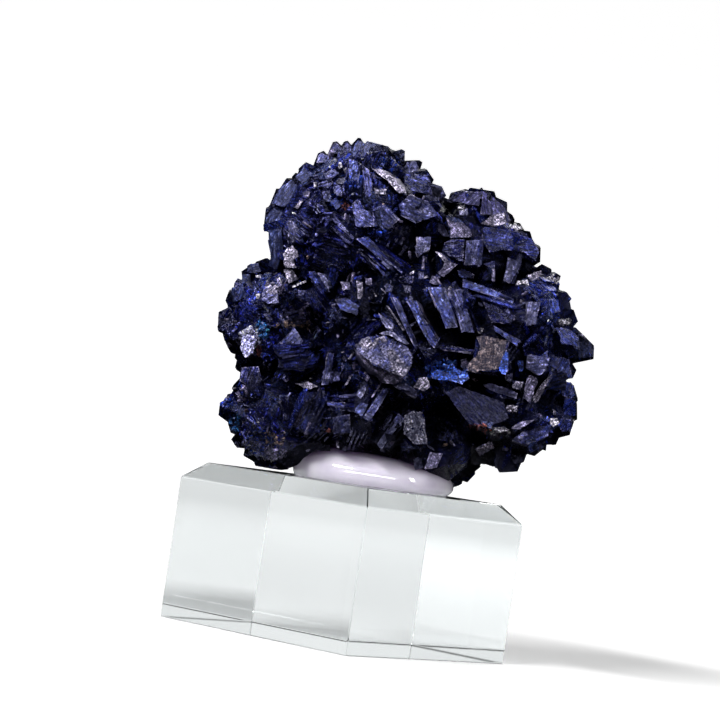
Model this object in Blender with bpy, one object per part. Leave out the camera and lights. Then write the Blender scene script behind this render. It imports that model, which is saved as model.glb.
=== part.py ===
"""Azurite specimen: a fused cluster of bladed crystals, bedded in white putty on a clear acrylic block.

Blender metres, +Z up. The origin is the middle of the block's underside and the display side faces -Y.
Every dimension below is in millimetres, and MM turns it into metres when a mesh is made.
"""
import math
import random

import bmesh
import bpy
from mathutils import Matrix, Vector

MM = 0.001
GAP = 0.3                  # clearance between neighbouring pieces
TIP_THICKNESS = 0.6        # of a blade's own thickness
MERGE = 0.002              # points nearer than this after the union are one
FLAT_WITHIN = 0.5          # degrees; faces this close to one plane are one face
SEED = 29

# ---- acrylic block: a square block standing on edge to the viewer, its top edges chamfered ----
BLOCK_SIDE = 38.1
BLOCK_HEIGHT = 24.5
BLOCK_CHAMFER = 2.7
BLOCK_YAW = 49.7           # degrees about +Z

# ---- putty: a pressed pad with its crown off centre ----
PUTTY_CENTRE = (2.3, -1.0)
PUTTY_HALF = (12.7, 10.2)
PUTTY_HEIGHT = 4.8
PUTTY_RIM = ((0.0, 0.945), (0.6, 0.99), (1.3, 1.0))     # height of the bulging rim, and share of the half size
PUTTY_WAVES = ((3, 0.03, 0.6), (5, 0.02, 0.0))          # waves of the rim: count, height as a share, and phase
PUTTY_CROWN = (-2.8, -0.5)
PUTTY_CROWN_FLATNESS = 1.2
PUTTY_SEGMENTS = 28
PUTTY_RINGS = 6
PUTTY_SKIRT = 4.0          # how far its cutter runs on below it

# ---- cluster: rounded lobes of crystals grown together, as centre and half axes ----
LOBES = {
    "rosette": ((-6.0, 1.0, 63.5), (12.4, 14.0, 12.4)),
    "shoulder": ((13.0, 2.0, 62.5), (8.4, 11.0, 8.2)),
    "right": ((20.0, 1.0, 49.5), (10.0, 15.0, 11.0)),
    "left": ((-15.0, 1.0, 48.0), (8.0, 12.5, 8.2)),
    "foot": ((-13.6, 0.0, 33.0), (6.8, 11.5, 7.6)),
    "heel": ((21.5, 1.0, 38.8), (9.4, 13.0, 6.6)),
    "heart": ((3.5, 0.0, 47.5), (15.5, 17.0, 16.0)),
    "neck": ((5.5, 2.0, 64.5), (5.5, 10.0, 6.0)),
    "belly": ((-0.5, 0.0, 35.6), (12.0, 13.0, 7.4)),
    "stump": ((11.0, 0.5, 33.0), (7.4, 10.5, 7.2)),
}

LOBE_ROUGHNESS = (0.92, 1.04)
BURIED = 0.92              # a point this deep in another lobe's ellipsoid is buried
BED_SIDE = 120.0           # slab that keeps the cluster off the block
BED_DEPTH = 20.0

# ---- outlines are read on the plane y = 0 from this point, and carried to their own depth along the sight ----
EYE = (0.0, -423.7, 31.1)

RIM_WIDEN = 1.3            # so that neighbours overlap
RIM_THICKNESS = (2.2, 4.4)
RIM_TWIST = 30.0           # degrees either way about their own length
RIM_STAGGER = 0.25         # of their lobe's depth, either way
RIM_ROOT_STAGGER = 2.0
RIM_ROOT = 0.42            # share of the way from the lobe's middle to the tip
# Crystals round the rim of the display view: lobe, tip x, tip z, width, crest width and shift in widths
RIM = (
    ("left", -24.7, 46.3, 4.0, 0.6, 0.0), ("left", -24.1, 50.0, 3.0, 0.4, 0.2),
    ("left", -23.4, 52.1, 2.6, 0.3, 0.3), ("left", -21.6, 55.3, 3.0, 0.5, 0.0),
    ("left", -19.4, 56.9, 2.8, 0.5, 0.0), ("rosette", -18.4, 58.5, 3.4, 0.7, 0.0),
    ("rosette", -18.9, 60.8, 3.2, 0.7, 0.0),
    ("rosette", -19.9, 63.3, 3.8, 0.7, 0.0), ("rosette", -19.2, 66.4, 4.2, 0.7, 0.0),
    ("rosette", -18.0, 68.8, 3.6, 0.6, 0.0), ("rosette", -16.6, 70.5, 2.4, 0.3, 0.1),
    ("rosette", -15.5, 72.2, 2.4, 0.3, 0.1), ("rosette", -13.2, 74.6, 2.2, 0.3, 0.2),
    ("rosette", -10.8, 76.8, 2.0, 0.2, 0.0), ("rosette", -9.1, 77.1, 2.2, 0.15, 0.0),
    ("rosette", -7.1, 77.8, 3.2, 0.12, 0.0), ("rosette", -3.9, 77.3, 4.0, 0.7, 0.0),
    ("rosette", -0.4, 77.2, 3.4, 0.15, 0.1), ("rosette", 2.3, 76.1, 3.0, 0.15, 0.2),
    ("rosette", 4.6, 73.9, 3.2, 0.5, 0.0), ("rosette", 6.9, 72.1, 2.6, 0.5, 0.2),
    ("shoulder", 9.6, 71.9, 3.4, 0.6, 0.0), ("shoulder", 13.0, 72.7, 5.0, 0.6, 0.0),
    ("shoulder", 16.0, 71.5, 3.4, 0.6, 0.0), ("shoulder", 17.8, 69.5, 3.0, 0.5, 0.0),
    ("shoulder", 19.7, 68.0, 2.4, 0.4, 0.1), ("shoulder", 21.8, 66.2, 2.8, 0.6, 0.0),
    ("shoulder", 23.4, 64.0, 3.0, 0.6, 0.0), ("right", 24.7, 62.2, 2.6, 0.5, 0.0),
    ("right", 26.1, 61.6, 2.2, 0.3, 0.2), ("right", 28.2, 58.8, 2.8, 0.4, 0.2),
    ("right", 30.2, 55.3, 3.2, 0.5, 0.0), ("right", 33.8, 51.0, 4.4, 0.35, 0.2),
    ("right", 31.4, 46.2, 2.8, 0.4, 0.0), ("heel", 32.0, 43.4, 3.0, 0.6, 0.0),
    ("heel", 32.6, 40.6, 3.2, 0.6, 0.0), ("heel", 32.1, 38.0, 2.8, 0.6, 0.0),
    ("heel", 30.4, 36.0, 3.0, 0.6, 0.0), ("heel", 27.8, 33.6, 3.0, 0.5, 0.0),
    ("heel", 25.2, 31.4, 2.8, 0.4, 0.1), ("heel", 23.3, 29.6, 3.6, 0.6, 0.0),
    ("heel", 20.3, 30.3, 2.6, 0.5, 0.0), ("stump", 18.0, 28.3, 3.0, 0.5, 0.1),
    ("stump", 15.2, 26.0, 3.6, 0.6, 0.0), ("foot", -11.4, 24.9, 3.2, 0.7, 0.0),
    ("foot", -14.2, 24.9, 3.6, 0.7, 0.0), ("foot", -16.6, 25.8, 3.0, 0.5, 0.1),
    ("foot", -19.3, 27.7, 2.6, 0.5, 0.1), ("foot", -20.6, 30.2, 2.6, 0.5, 0.1),
    ("foot", -22.6, 33.0, 3.2, 0.5, 0.0), ("foot", -21.8, 34.9, 2.2, 0.4, 0.0),
    ("foot", -20.7, 37.3, 2.4, 0.5, 0.0), ("left", -20.1, 39.0, 2.8, 0.6, 0.0),
    ("left", -20.7, 40.6, 2.6, 0.5, 0.0),
    ("left", -22.3, 42.2, 2.8, 0.5, 0.1), ("left", -23.5, 44.2, 2.4, 0.5, 0.0),
)

PLATE_DRAW_IN = 0.12       # share by which a display crystal's back is drawn in
# Flat faces of the display side: outline, slope in x, slope in z, how far it stands proud, how deep it runs
PLATES = (
    # the pitted plate and the shelf below it
    (((-3.3, 45.8), (-1.4, 47.5), (1.3, 48.0), (5.0, 46.8), (6.2, 44.6), (4.8, 42.2), (0.2, 43.0)),
     -0.10, 0.15, 2.4, 6.0),
    (((-3.0, 45.0), (4.8, 42.6), (9.6, 41.3), (7.5, 39.0), (3.0, 40.6), (-0.6, 42.5)), 0.10, -0.45, 1.2, 5.0),
    # the book of parallel blades above it
    (((1.2, 54.0), (2.6, 54.0), (7.0, 46.6), (6.2, 46.6)), 0.50, 0.10, 1.0, 6.0),
    (((3.7, 54.0), (5.3, 54.1), (9.9, 48.2), (8.6, 47.3)), 0.20, 0.10, 2.0, 7.0),
    (((6.8, 56.3), (9.4, 56.7), (12.3, 50.8), (10.5, 50.4)), -0.20, 0.15, 1.8, 7.0),
    (((10.2, 56.3), (12.1, 56.8), (15.0, 50.4), (13.0, 50.1)), 0.30, 0.10, 1.4, 6.0),
    (((0.1, 51.5), (1.2, 51.3), (4.8, 47.8), (3.1, 47.5), (1.0, 49.0)), 0.10, 0.30, 1.6, 5.0),
    (((9.4, 47.9), (15.4, 47.7), (15.2, 46.9), (9.4, 47.1)), 0.00, -0.30, 0.8, 5.0),
    # the stained plate and the slabs round it
    (((15.3, 49.5), (20.3, 50.0), (20.7, 45.0), (16.0, 44.3), (15.3, 46.0)), 0.05, -0.10, 2.2, 6.0),
    (((13.3, 45.8), (15.6, 46.3), (16.0, 44.4), (14.1, 44.1)), -0.30, 0.10, 1.6, 4.0),
    (((17.8, 42.9), (23.1, 41.6), (22.8, 40.7), (17.9, 41.5)), 0.00, 0.50, 1.4, 5.0),
    (((11.8, 40.5), (13.8, 41.8), (21.0, 40.3), (22.3, 38.0), (19.6, 36.4), (16.4, 36.0)), 0.10, -0.20, 2.4, 7.0),
    (((23.7, 47.6), (27.1, 48.1), (26.4, 45.5), (24.0, 45.7)), 0.10, -0.10, 1.8, 4.0),
    (((24.1, 45.2), (25.9, 44.5), (25.1, 40.8), (23.9, 41.4)), -0.20, 0.10, 1.8, 4.0),
    (((26.7, 44.4), (27.9, 45.8), (26.3, 41.2), (25.3, 40.6)), -0.40, 0.10, 2.0, 4.0),
    (((21.8, 44.0), (23.7, 44.0), (23.3, 42.4), (22.1, 42.6)), 0.20, 0.20, 1.6, 4.0),
    (((28.2, 48.6), (30.2, 48.4), (31.0, 45.6), (28.6, 45.4)), 0.60, 0.00, 1.8, 5.0),
    (((22.3, 56.3), (24.5, 56.5), (24.3, 53.0), (22.8, 52.6)), -0.10, 0.10, 1.8, 4.0),
    (((12.0, 58.4), (16.6, 57.5), (20.4, 56.4), (20.2, 55.8), (12.2, 57.2)), 0.00, 0.50, 1.6, 5.0),
    (((15.6, 55.4), (21.4, 53.7), (20.0, 52.4), (17.4, 52.3)), 0.05, -0.20, 1.6, 6.0),
    (((17.8, 51.9), (22.2, 50.2), (21.9, 49.4), (18.0, 51.1)), 0.00, 0.40, 1.2, 4.0),
    # below the stained plate
    (((23.0, 34.6), (24.6, 36.2), (28.9, 38.0), (28.6, 36.0), (25.7, 34.0)), 0.20, -0.30, 2.2, 5.0),
    (((22.7, 36.4), (24.4, 37.9), (26.1, 38.3), (24.2, 36.5)), 0.00, 0.30, 2.2, 4.0),
    (((17.6, 32.6), (19.9, 34.2), (20.7, 33.1), (18.6, 31.5)), 0.00, 0.10, 1.6, 4.0),
    (((6.0, 36.0), (7.6, 37.1), (9.1, 36.7), (10.3, 32.1), (8.2, 31.9), (6.1, 33.4)), 0.10, -0.10, 2.0, 5.0),
    (((10.3, 28.2), (10.8, 31.0), (12.8, 31.1), (12.2, 28.8)), 0.00, 0.10, 1.6, 4.0),
    (((5.1, 36.3), (6.1, 35.6), (3.3, 30.4), (2.3, 30.8)), 0.30, 0.10, 1.4, 4.0),
    (((2.3, 40.9), (3.5, 40.4), (0.7, 34.2), (-0.4, 34.8)), 0.30, 0.10, 1.6, 5.0),
    (((-1.7, 40.4), (-0.2, 40.8), (0.4, 37.0), (-0.9, 34.9), (-2.0, 36.4)), -0.10, 0.10, 1.6, 5.0),
    (((-5.0, 34.2), (-2.4, 35.0), (-1.8, 32.2), (-4.4, 31.6)), -0.10, -0.20, 1.6, 5.0),
    # the shoulder's faces
    (((13.6, 64.6), (14.2, 67.0), (20.5, 66.9), (23.0, 64.5), (22.6, 62.6), (17.5, 63.6)), 0.30, -0.05, 1.4, 6.0),
    (((13.7, 67.2), (16.9, 69.6), (18.1, 67.1)), 0.00, 0.25, 1.8, 4.0),
    (((7.9, 67.9), (10.2, 67.7), (12.8, 65.7), (11.8, 64.8), (9.1, 64.3)), 0.10, 0.10, 2.2, 5.0),
    (((8.1, 63.5), (11.5, 64.6), (11.7, 60.9), (8.2, 61.9)), -0.20, -0.20, 1.6, 5.0),
    (((11.9, 63.9), (14.5, 64.3), (14.3, 60.4), (12.0, 60.6)), 0.20, -0.10, 1.4, 5.0),
    (((18.1, 58.6), (18.5, 63.1), (20.3, 64.1), (20.8, 62.0), (20.1, 58.7)), 0.10, 0.05, 1.8, 6.0),
    (((15.4, 58.7), (15.6, 61.6), (16.7, 62.1), (16.9, 58.7)), -0.20, 0.00, 1.4, 5.0),
    (((20.1, 58.5), (21.0, 59.7), (24.3, 61.6), (23.7, 60.0), (22.4, 58.6)), 0.10, 0.50, 2.0, 4.0),
    # between the rosette and the shoulder
    (((3.9, 63.6), (6.1, 64.1), (6.4, 62.2), (4.3, 60.7)), -0.10, 0.10, 2.2, 5.0),
    (((7.1, 61.9), (8.6, 61.9), (10.9, 60.5), (9.1, 58.2), (7.6, 58.9)), 0.10, -0.10, 1.6, 5.0),
    (((0.4, 68.4), (2.0, 70.3), (5.0, 69.6), (6.8, 67.7), (3.5, 65.9), (1.0, 66.8)), 0.15, 0.10, 2.2, 6.0),
    (((0.6, 73.4), (4.4, 73.8), (5.4, 72.2), (4.9, 70.7), (1.2, 70.9)), 0.15, 0.20, 1.4, 6.0),
    # the rosette's faces
    (((-3.4, 67.0), (-1.7, 68.3), (1.0, 66.2), (-0.5, 64.5), (-3.0, 65.0)), 0.05, -0.10, 2.2, 5.0),
    (((-4.6, 73.4), (-3.3, 73.6), (-0.3, 72.1), (1.4, 70.4), (0.2, 70.2), (-2.0, 72.0)), 0.05, 0.40, 1.6, 4.0),
    (((-5.3, 62.2), (-3.7, 62.8), (1.3, 59.5), (1.0, 58.3), (-1.8, 60.0)), 0.10, 0.20, 1.6, 5.0),
    (((-6.6, 67.0), (-3.6, 66.8), (-2.2, 64.6), (-5.6, 64.0)), -0.10, 0.10, 1.4, 5.0),
    (((-16.2, 63.8), (-14.4, 63.4), (-13.2, 60.4), (-15.2, 60.0)), -0.30, 0.00, 1.4, 4.0),
    # the left lobe and what lies between it and the middle
    (((-19.6, 50.0), (-18.2, 52.9), (-16.1, 52.3), (-15.5, 50.4), (-17.5, 49.3)), -0.10, 0.10, 1.6, 4.0),
    (((-14.9, 44.4), (-12.8, 47.2), (-11.2, 45.3), (-9.4, 43.0), (-10.5, 40.4), (-14.5, 40.6)), 0.15, 0.10, 1.8, 6.0),
    (((-11.5, 38.6), (-9.5, 39.1), (-7.8, 38.6), (-9.4, 37.8)), 0.00, 0.50, 1.8, 4.0),
    (((-7.4, 38.8), (-7.2, 44.0), (-6.1, 44.1), (-6.3, 38.9)), 0.30, 0.00, 1.4, 5.0),
    (((-7.2, 52.4), (-5.6, 53.0), (-3.3, 51.9), (-3.5, 50.4), (-6.2, 51.0)), 0.00, 0.20, 1.6, 5.0),
    (((-10.2, 56.1), (-8.8, 56.1), (-7.6, 53.8), (-8.9, 53.6)), -0.10, 0.10, 1.6, 5.0),
    (((-15.8, 59.6), (-13.9, 59.4), (-13.6, 56.6), (-15.6, 56.2)), -0.10, 0.00, 1.6, 4.0),
    (((-9.9, 37.4), (-7.2, 38.0), (-6.4, 31.4), (-9.6, 31.2)), 0.10, 0.00, 1.6, 5.0),
)

# Crystals all round: for each lobe how many directions are tried, and the length, width and thickness ranges
BLADES_ROUND = {
    "rosette": (48, (7.0, 9.5), (4.4, 7.4), (1.8, 3.6)),
    "shoulder": (36, (6.0, 8.5), (4.4, 7.0), (1.8, 3.4)),
    "right": (42, (7.0, 9.0), (4.6, 7.6), (2.0, 3.8)),
    "left": (30, (5.5, 8.0), (3.4, 5.6), (1.6, 3.0)),
    "foot": (26, (5.5, 8.0), (3.2, 5.2), (1.6, 3.0)),
    "heel": (32, (6.0, 8.5), (4.2, 6.6), (1.8, 3.4)),
    "heart": (46, (7.5, 10.0), (5.2, 8.6), (2.2, 4.2)),
    "neck": (12, (5.0, 7.0), (3.4, 5.0), (1.6, 2.8)),
    "belly": (15, (5.0, 7.0), (3.6, 5.6), (1.6, 3.0)),
    "stump": (14, (5.0, 7.0), (3.6, 5.6), (1.6, 3.0)),
}
ROUND_PROUD = (0.7, 2.8)     # how far those crystals stand out of their lobe
ROUND_LEAN = 0.35
ROUND_CREST = (0.35, 0.85)
ROUND_SHIFT = (-0.3, 0.3)
ROUND_FRONT = -0.2           # a direction with y below this faces the display side
RIM_CLEAR = 0.9              # how far inside the rim's outline they stay
PLATE_CLEAR = 1.6            # how far from the middle of a display face they stay, in view


def mm(point):
    """A point in metres from one in millimetres."""
    return Vector(point) * MM


def clear_scene():
    for obj in list(bpy.data.objects):
        bpy.data.objects.remove(obj, do_unlink=True)


def material(name, colour, roughness, transmission=0.0, ior=1.5):
    """A Principled material, linear colour."""
    mat = bpy.data.materials.new(name)
    mat.use_nodes = True
    shader = mat.node_tree.nodes["Principled BSDF"]
    shader.inputs["Base Color"].default_value = (*colour, 1.0)
    shader.inputs["Roughness"].default_value = roughness
    shader.inputs["Metallic"].default_value = 0.0
    shader.inputs["Transmission Weight"].default_value = transmission
    shader.inputs["IOR"].default_value = ior
    return mat


def add_object(name, bm, mat=None):
    """An object at the origin from a bmesh, which is freed."""
    mesh = bpy.data.meshes.new(name)
    bmesh.ops.recalc_face_normals(bm, faces=bm.faces)
    bm.to_mesh(mesh)
    bm.free()
    obj = bpy.data.objects.new(name, mesh)
    bpy.context.scene.collection.objects.link(obj)
    if mat:
        mesh.materials.append(mat)
    return obj


# ---- the lobes' shared surface ----

def in_lobe(name, point):
    """Squared share of the way from a lobe's centre to its surface."""
    centre, half = LOBES[name]
    return sum(((p - c) / h) ** 2 for p, c, h in zip(point, centre, half))


def front_of_lobes(x, z):
    """The y of the lobes' display side on the line through (x, z)."""
    nearest = 0.0
    for (cx, cy, cz), (hx, hy, hz) in LOBES.values():
        share = ((x - cx) / hx) ** 2 + ((z - cz) / hz) ** 2
        if share < 1.0:
            nearest = min(nearest, cy - hy * math.sqrt(1.0 - share))
    return nearest


def at_depth(x, z, y):
    """The point at depth y that hides behind (x, 0, z) as seen from EYE."""
    share = (y - EYE[1]) / -EYE[1]
    return (EYE[0] + (x - EYE[0]) * share, y, EYE[2] + (z - EYE[2]) * share)


def inside_rim(x, z, clear):
    """True if (x, z) lies inside the rim's outline, drawn in towards the middle by clear."""
    tips = [(tip_x, tip_z) for _, tip_x, tip_z, *_ in RIM]
    middle_x = sum(t[0] for t in tips) / len(tips)
    middle_z = sum(t[1] for t in tips) / len(tips)
    reach = math.hypot(x - middle_x, z - middle_z)
    if reach > 0.0:
        x += (x - middle_x) / reach * clear
        z += (z - middle_z) / reach * clear
    inside = False
    for (x0, z0), (x1, z1) in zip(tips, tips[1:] + tips[:1]):
        if (z0 > z) != (z1 > z) and x < x0 + (z - z0) / (z1 - z0) * (x1 - x0):
            inside = not inside
    return inside


# ---- the cluster's crystals ----

def lobe_solid(centre, half, rng):
    """A faceted lump."""
    bm = bmesh.new()
    bmesh.ops.create_icosphere(bm, subdivisions=2, radius=1.0)
    for vert in bm.verts:
        vert.co = Vector(c + h * p * rng.uniform(*LOBE_ROUGHNESS) for c, h, p in zip(centre, half, vert.co)) * MM
    return bm


def blade(root, tip, across, width, thickness, crest, shift):
    """A flat-sided crystal from root to tip, whose end is narrower, thinner and shifted to one side."""
    axis = (tip - root).normalized()
    across = (across - axis * across.dot(axis)).normalized()
    length = (tip - root).length
    bm = bmesh.new()
    bmesh.ops.create_cube(bm, size=1.0)
    for vert in bm.verts:
        high = vert.co.z > 0.0
        vert.co.x *= width
        vert.co.y *= thickness
        vert.co.z = length if high else 0.0
        if high:
            vert.co.z -= abs(shift) * width * (1.0 if vert.co.x * shift < 0.0 else -0.2)
            vert.co.x = vert.co.x * crest + shift * width
            vert.co.y *= TIP_THICKNESS
    turn = Matrix((across, axis.cross(across), axis)).transposed().to_4x4()
    bm.transform(Matrix.Scale(MM, 4) @ Matrix.Translation(root) @ turn)
    return bm


def crested_blade(root, tip, across, width, thickness, crest, shift):
    """A blade that keeps its width almost to the end, and closes there in a short crest."""
    way = tip - root
    rise = min((0.30 + 0.35 * (1.0 - crest)) * width, 0.55 * way.length)
    bm = blade(root, tip - way.normalized() * rise, across, width, thickness, 1.0, 0.0)
    axis = way.normalized()
    across = (across - axis * across.dot(axis)).normalized()
    shoulder = mm(tip) - axis * rise * MM
    top = max(bm.faces, key=lambda face: face.calc_center_median().dot(axis))
    crown = bmesh.ops.extrude_face_region(bm, geom=[top])["geom"]
    bmesh.ops.delete(bm, geom=[top], context="FACES")
    for vert in (item for item in crown if isinstance(item, bmesh.types.BMVert)):
        offset = vert.co - shoulder
        sideways = across * offset.dot(across)
        vert.co = mm(tip) + sideways * crest + across * shift * width * MM + (offset - sideways) * 0.7
    return bm


def rim_crystal(lobe, tip_x, tip_z, width, crest, shift, rng):
    """A crystal that makes a point of the display view's outline."""
    centre, half = LOBES[lobe]
    depth = centre[1] + rng.uniform(-RIM_STAGGER, RIM_STAGGER) * half[1]
    tip = Vector(at_depth(tip_x, tip_z, depth))
    root_y = depth + rng.uniform(-RIM_ROOT_STAGGER, RIM_ROOT_STAGGER)
    root = Vector((centre[0], root_y, centre[2])).lerp(tip, RIM_ROOT)
    turn = Matrix.Rotation(math.radians(rng.uniform(-RIM_TWIST, RIM_TWIST)), 3, tip - root)
    across = turn @ Vector((0.0, 1.0, 0.0)).cross(tip - root)
    return crested_blade(root, tip, across, width * RIM_WIDEN, rng.uniform(*RIM_THICKNESS), crest, shift)


def plate(outline, slope_x, slope_z, proud, depth):
    """A tabular crystal seen face on; its face leans by the slopes, and its sides draw in behind it."""
    mid_x = sum(p[0] for p in outline) / len(outline)
    mid_z = sum(p[1] for p in outline) / len(outline)
    face_y = front_of_lobes(mid_x, mid_z) - proud
    bm = bmesh.new()
    corners = []
    for x, z in outline:
        y = face_y + slope_x * (x - mid_x) + slope_z * (z - mid_z)
        corners.append(bm.verts.new(mm(at_depth(x, z, y))))
    face = bm.faces.new(corners)
    back = bmesh.ops.extrude_face_region(bm, geom=[face])["geom"]
    middle = mm(at_depth(mid_x, mid_z, face_y + depth + proud))
    for vert in (item for item in back if isinstance(item, bmesh.types.BMVert)):
        vert.co = Vector((vert.co.x, middle.y, vert.co.z)).lerp(middle, PLATE_DRAW_IN)
    return bm


def near_plate(x, z):
    """True if (x, z) is behind the middle of one of the display faces."""
    return any(math.hypot(x - sum(p[0] for p in row[0]) / len(row[0]),
                          z - sum(p[1] for p in row[0]) / len(row[0])) < PLATE_CLEAR for row in PLATES)


def round_crystals(lobe, tries, lengths, widths, thicknesses, rng):
    """Crystals standing out of a lobe in evenly spread directions, clear of the other lobes and the rim."""
    centre, half = (Vector(v) for v in LOBES[lobe])
    for k in range(tries):
        height = 1.0 - 2.0 * (k + 0.5) / tries
        spin = k * math.pi * (3.0 - math.sqrt(5.0)) + rng.uniform(-0.2, 0.2)
        ring = math.sqrt(1.0 - height * height)
        way = Vector((ring * math.cos(spin), ring * math.sin(spin), height))
        surface = centre + Vector(w * h for w, h in zip(way, half))
        outward = Vector(w / h for w, h in zip(way, half)).normalized()
        lean = Vector((rng.uniform(-1, 1), rng.uniform(-1, 1), rng.uniform(-1, 1))) * ROUND_LEAN
        axis = (outward + lean).normalized()
        length, width = rng.uniform(*lengths), rng.uniform(*widths)
        thickness, stand = rng.uniform(*thicknesses), rng.uniform(*ROUND_PROUD)
        across = axis.cross(Vector((rng.uniform(-1, 1), rng.uniform(-1, 1), rng.uniform(-1, 1))))
        crest, shift = rng.uniform(*ROUND_CREST), rng.uniform(*ROUND_SHIFT)
        tip = surface + axis * stand
        if any(in_lobe(other, surface) < BURIED for other in LOBES if other != lobe):
            continue
        if not inside_rim(tip.x, tip.z, RIM_CLEAR):
            continue
        if tip.z < BLOCK_HEIGHT + 2.0 * GAP or (way.y < ROUND_FRONT and near_plate(tip.x, tip.z)):
            continue
        yield blade(tip - axis * length, tip, across, width, thickness, crest, shift)


# ---- the putty ----

def putty_solid(grow, skirt):
    """A pressed pad: steep on the side its crown leans to. It grows all round, and its skirt runs below it."""
    bottom = BLOCK_HEIGHT + GAP
    rim_height = PUTTY_RIM[-1][0]
    bm = bmesh.new()

    def ring(share, z):
        verts = []
        for k in range(PUTTY_SEGMENTS):
            angle = 2.0 * math.pi * k / PUTTY_SEGMENTS
            wave = 1.0 + sum(size * math.sin(count * angle + phase) for count, size, phase in PUTTY_WAVES)
            edge = Vector((PUTTY_CENTRE[0] + (PUTTY_HALF[0] + grow) * wave * math.cos(angle),
                           PUTTY_CENTRE[1] + (PUTTY_HALF[1] + grow) * wave * math.sin(angle)))
            spot = Vector(PUTTY_CROWN).lerp(edge, share)
            verts.append(bm.verts.new(mm((spot.x, spot.y, z))))
        return verts

    rings = [ring(share, bottom + height - (skirt if height == 0.0 else 0.0)) for height, share in PUTTY_RIM]
    for step in range(1, PUTTY_RINGS):
        share = math.cos(0.5 * math.pi * step / PUTTY_RINGS)
        rise = math.sin(0.5 * math.pi * step / PUTTY_RINGS) ** PUTTY_CROWN_FLATNESS
        rings.append(ring(share, bottom + rim_height + (PUTTY_HEIGHT - rim_height + grow) * rise))
    bm.faces.new(rings[0])
    for low, high in zip(rings, rings[1:]):
        for k in range(PUTTY_SEGMENTS):
            after = (k + 1) % PUTTY_SEGMENTS
            bm.faces.new((low[k], low[after], high[after], high[k]))
    crown = bm.verts.new(mm((*PUTTY_CROWN, bottom + PUTTY_HEIGHT + grow)))
    for k in range(PUTTY_SEGMENTS):
        bm.faces.new((rings[-1][k], rings[-1][(k + 1) % PUTTY_SEGMENTS], crown))
    return bm


def block_solid(side, height, chamfer):
    """The block, turned, with its four top edges chamfered."""
    bm = bmesh.new()
    bmesh.ops.create_cube(bm, size=1.0)
    bmesh.ops.scale(bm, vec=mm((side, side, height)), verts=bm.verts)
    bmesh.ops.translate(bm, vec=mm((0.0, 0.0, height / 2.0)), verts=bm.verts)
    top = [edge for edge in bm.edges if all(vert.co.z > height * MM * 0.9 for vert in edge.verts)]
    bmesh.ops.bevel(bm, geom=top, offset=chamfer * MM, offset_type="OFFSET", segments=1, profile=0.5,
                    affect="EDGES", clamp_overlap=True, material=-1)
    bmesh.ops.rotate(bm, cent=(0, 0, 0), matrix=Matrix.Rotation(math.radians(BLOCK_YAW), 3, "Z"), verts=bm.verts)
    return bm


def bed_solid():
    """A slab over the block, which the cluster keeps clear of."""
    bm = bmesh.new()
    bmesh.ops.create_cube(bm, size=1.0)
    bmesh.ops.scale(bm, vec=mm((BED_SIDE, BED_SIDE, BED_DEPTH)), verts=bm.verts)
    bmesh.ops.translate(bm, vec=mm((0.0, 0.0, BLOCK_HEIGHT + GAP - BED_DEPTH / 2.0)), verts=bm.verts)
    return bm


# ---- joining ----

def linked(start):
    """Every vertex joined to one by edges."""
    found, waiting = {start}, [start]
    while waiting:
        for edge in waiting.pop().link_edges:
            for vert in edge.verts:
                if vert not in found:
                    found.add(vert)
                    waiting.append(vert)
    return found


def clean(mesh):
    """Fill pockets sealed between crystals, and merge flat faces and straight edges that the union split."""
    bm = bmesh.new()
    bm.from_mesh(mesh)
    outside = linked(max(bm.verts, key=lambda vert: vert.co.z))
    bmesh.ops.delete(bm, geom=[vert for vert in bm.verts if vert not in outside], context="VERTS")
    bmesh.ops.remove_doubles(bm, verts=bm.verts, dist=MERGE * MM)
    bmesh.ops.dissolve_limit(bm, angle_limit=math.radians(FLAT_WITHIN), verts=bm.verts, edges=bm.edges)
    bmesh.ops.triangulate(bm, faces=bm.faces)
    bm.to_mesh(mesh)
    bm.free()


def fuse(name, solids, cutters, mat):
    """One closed node from overlapping closed solids, less the cutters."""
    pieces = bpy.data.collections.new(name + "_pieces")
    body = add_object(name, solids[0], mat)
    helpers = []
    for k, bm in enumerate(solids[1:]):
        piece = add_object(f"{name}_piece_{k}", bm)
        bpy.context.scene.collection.objects.unlink(piece)
        pieces.objects.link(piece)
        helpers.append(piece)
    bpy.context.scene.collection.children.link(pieces)
    union = body.modifiers.new("fuse", "BOOLEAN")
    union.operation, union.solver = "UNION", "EXACT"
    union.operand_type, union.collection = "COLLECTION", pieces
    for k, bm in enumerate(cutters):
        cutter = add_object(f"{name}_cutter_{k}", bm)
        helpers.append(cutter)
        cut = body.modifiers.new("bed", "BOOLEAN")
        cut.operation, cut.solver, cut.object = "DIFFERENCE", "EXACT", cutter
    view = bpy.context.evaluated_depsgraph_get()
    mesh = bpy.data.meshes.new_from_object(body.evaluated_get(view))
    body.modifiers.clear()
    body.data = mesh
    clean(mesh)
    for helper in helpers:
        bpy.data.objects.remove(helper, do_unlink=True)
    bpy.data.collections.remove(pieces)
    return body


def cluster_solids(rng):
    """Every lobe and crystal of the cluster."""
    solids = [lobe_solid(*lobe, rng) for lobe in LOBES.values()]
    solids += [rim_crystal(*row, rng) for row in RIM]
    solids += [plate(*row) for row in PLATES]
    for lobe, row in BLADES_ROUND.items():
        solids += list(round_crystals(lobe, *row, rng))
    return solids


def main():
    clear_scene()
    rng = random.Random(SEED)
    azurite = material("azurite", (0.012, 0.017, 0.085), 0.30, ior=1.73)
    putty = material("putty", (0.62, 0.56, 0.64), 0.28)
    acrylic = material("acrylic", (0.95, 0.97, 0.98), 0.02, transmission=1.0, ior=1.49)
    add_object("acrylic_base", block_solid(BLOCK_SIDE, BLOCK_HEIGHT, BLOCK_CHAMFER), acrylic)
    add_object("mounting_putty", putty_solid(0.0, 0.0), putty)
    fuse("azurite_cluster", cluster_solids(rng), [bed_solid(), putty_solid(GAP, PUTTY_SKIRT)], azurite)


main()
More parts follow.
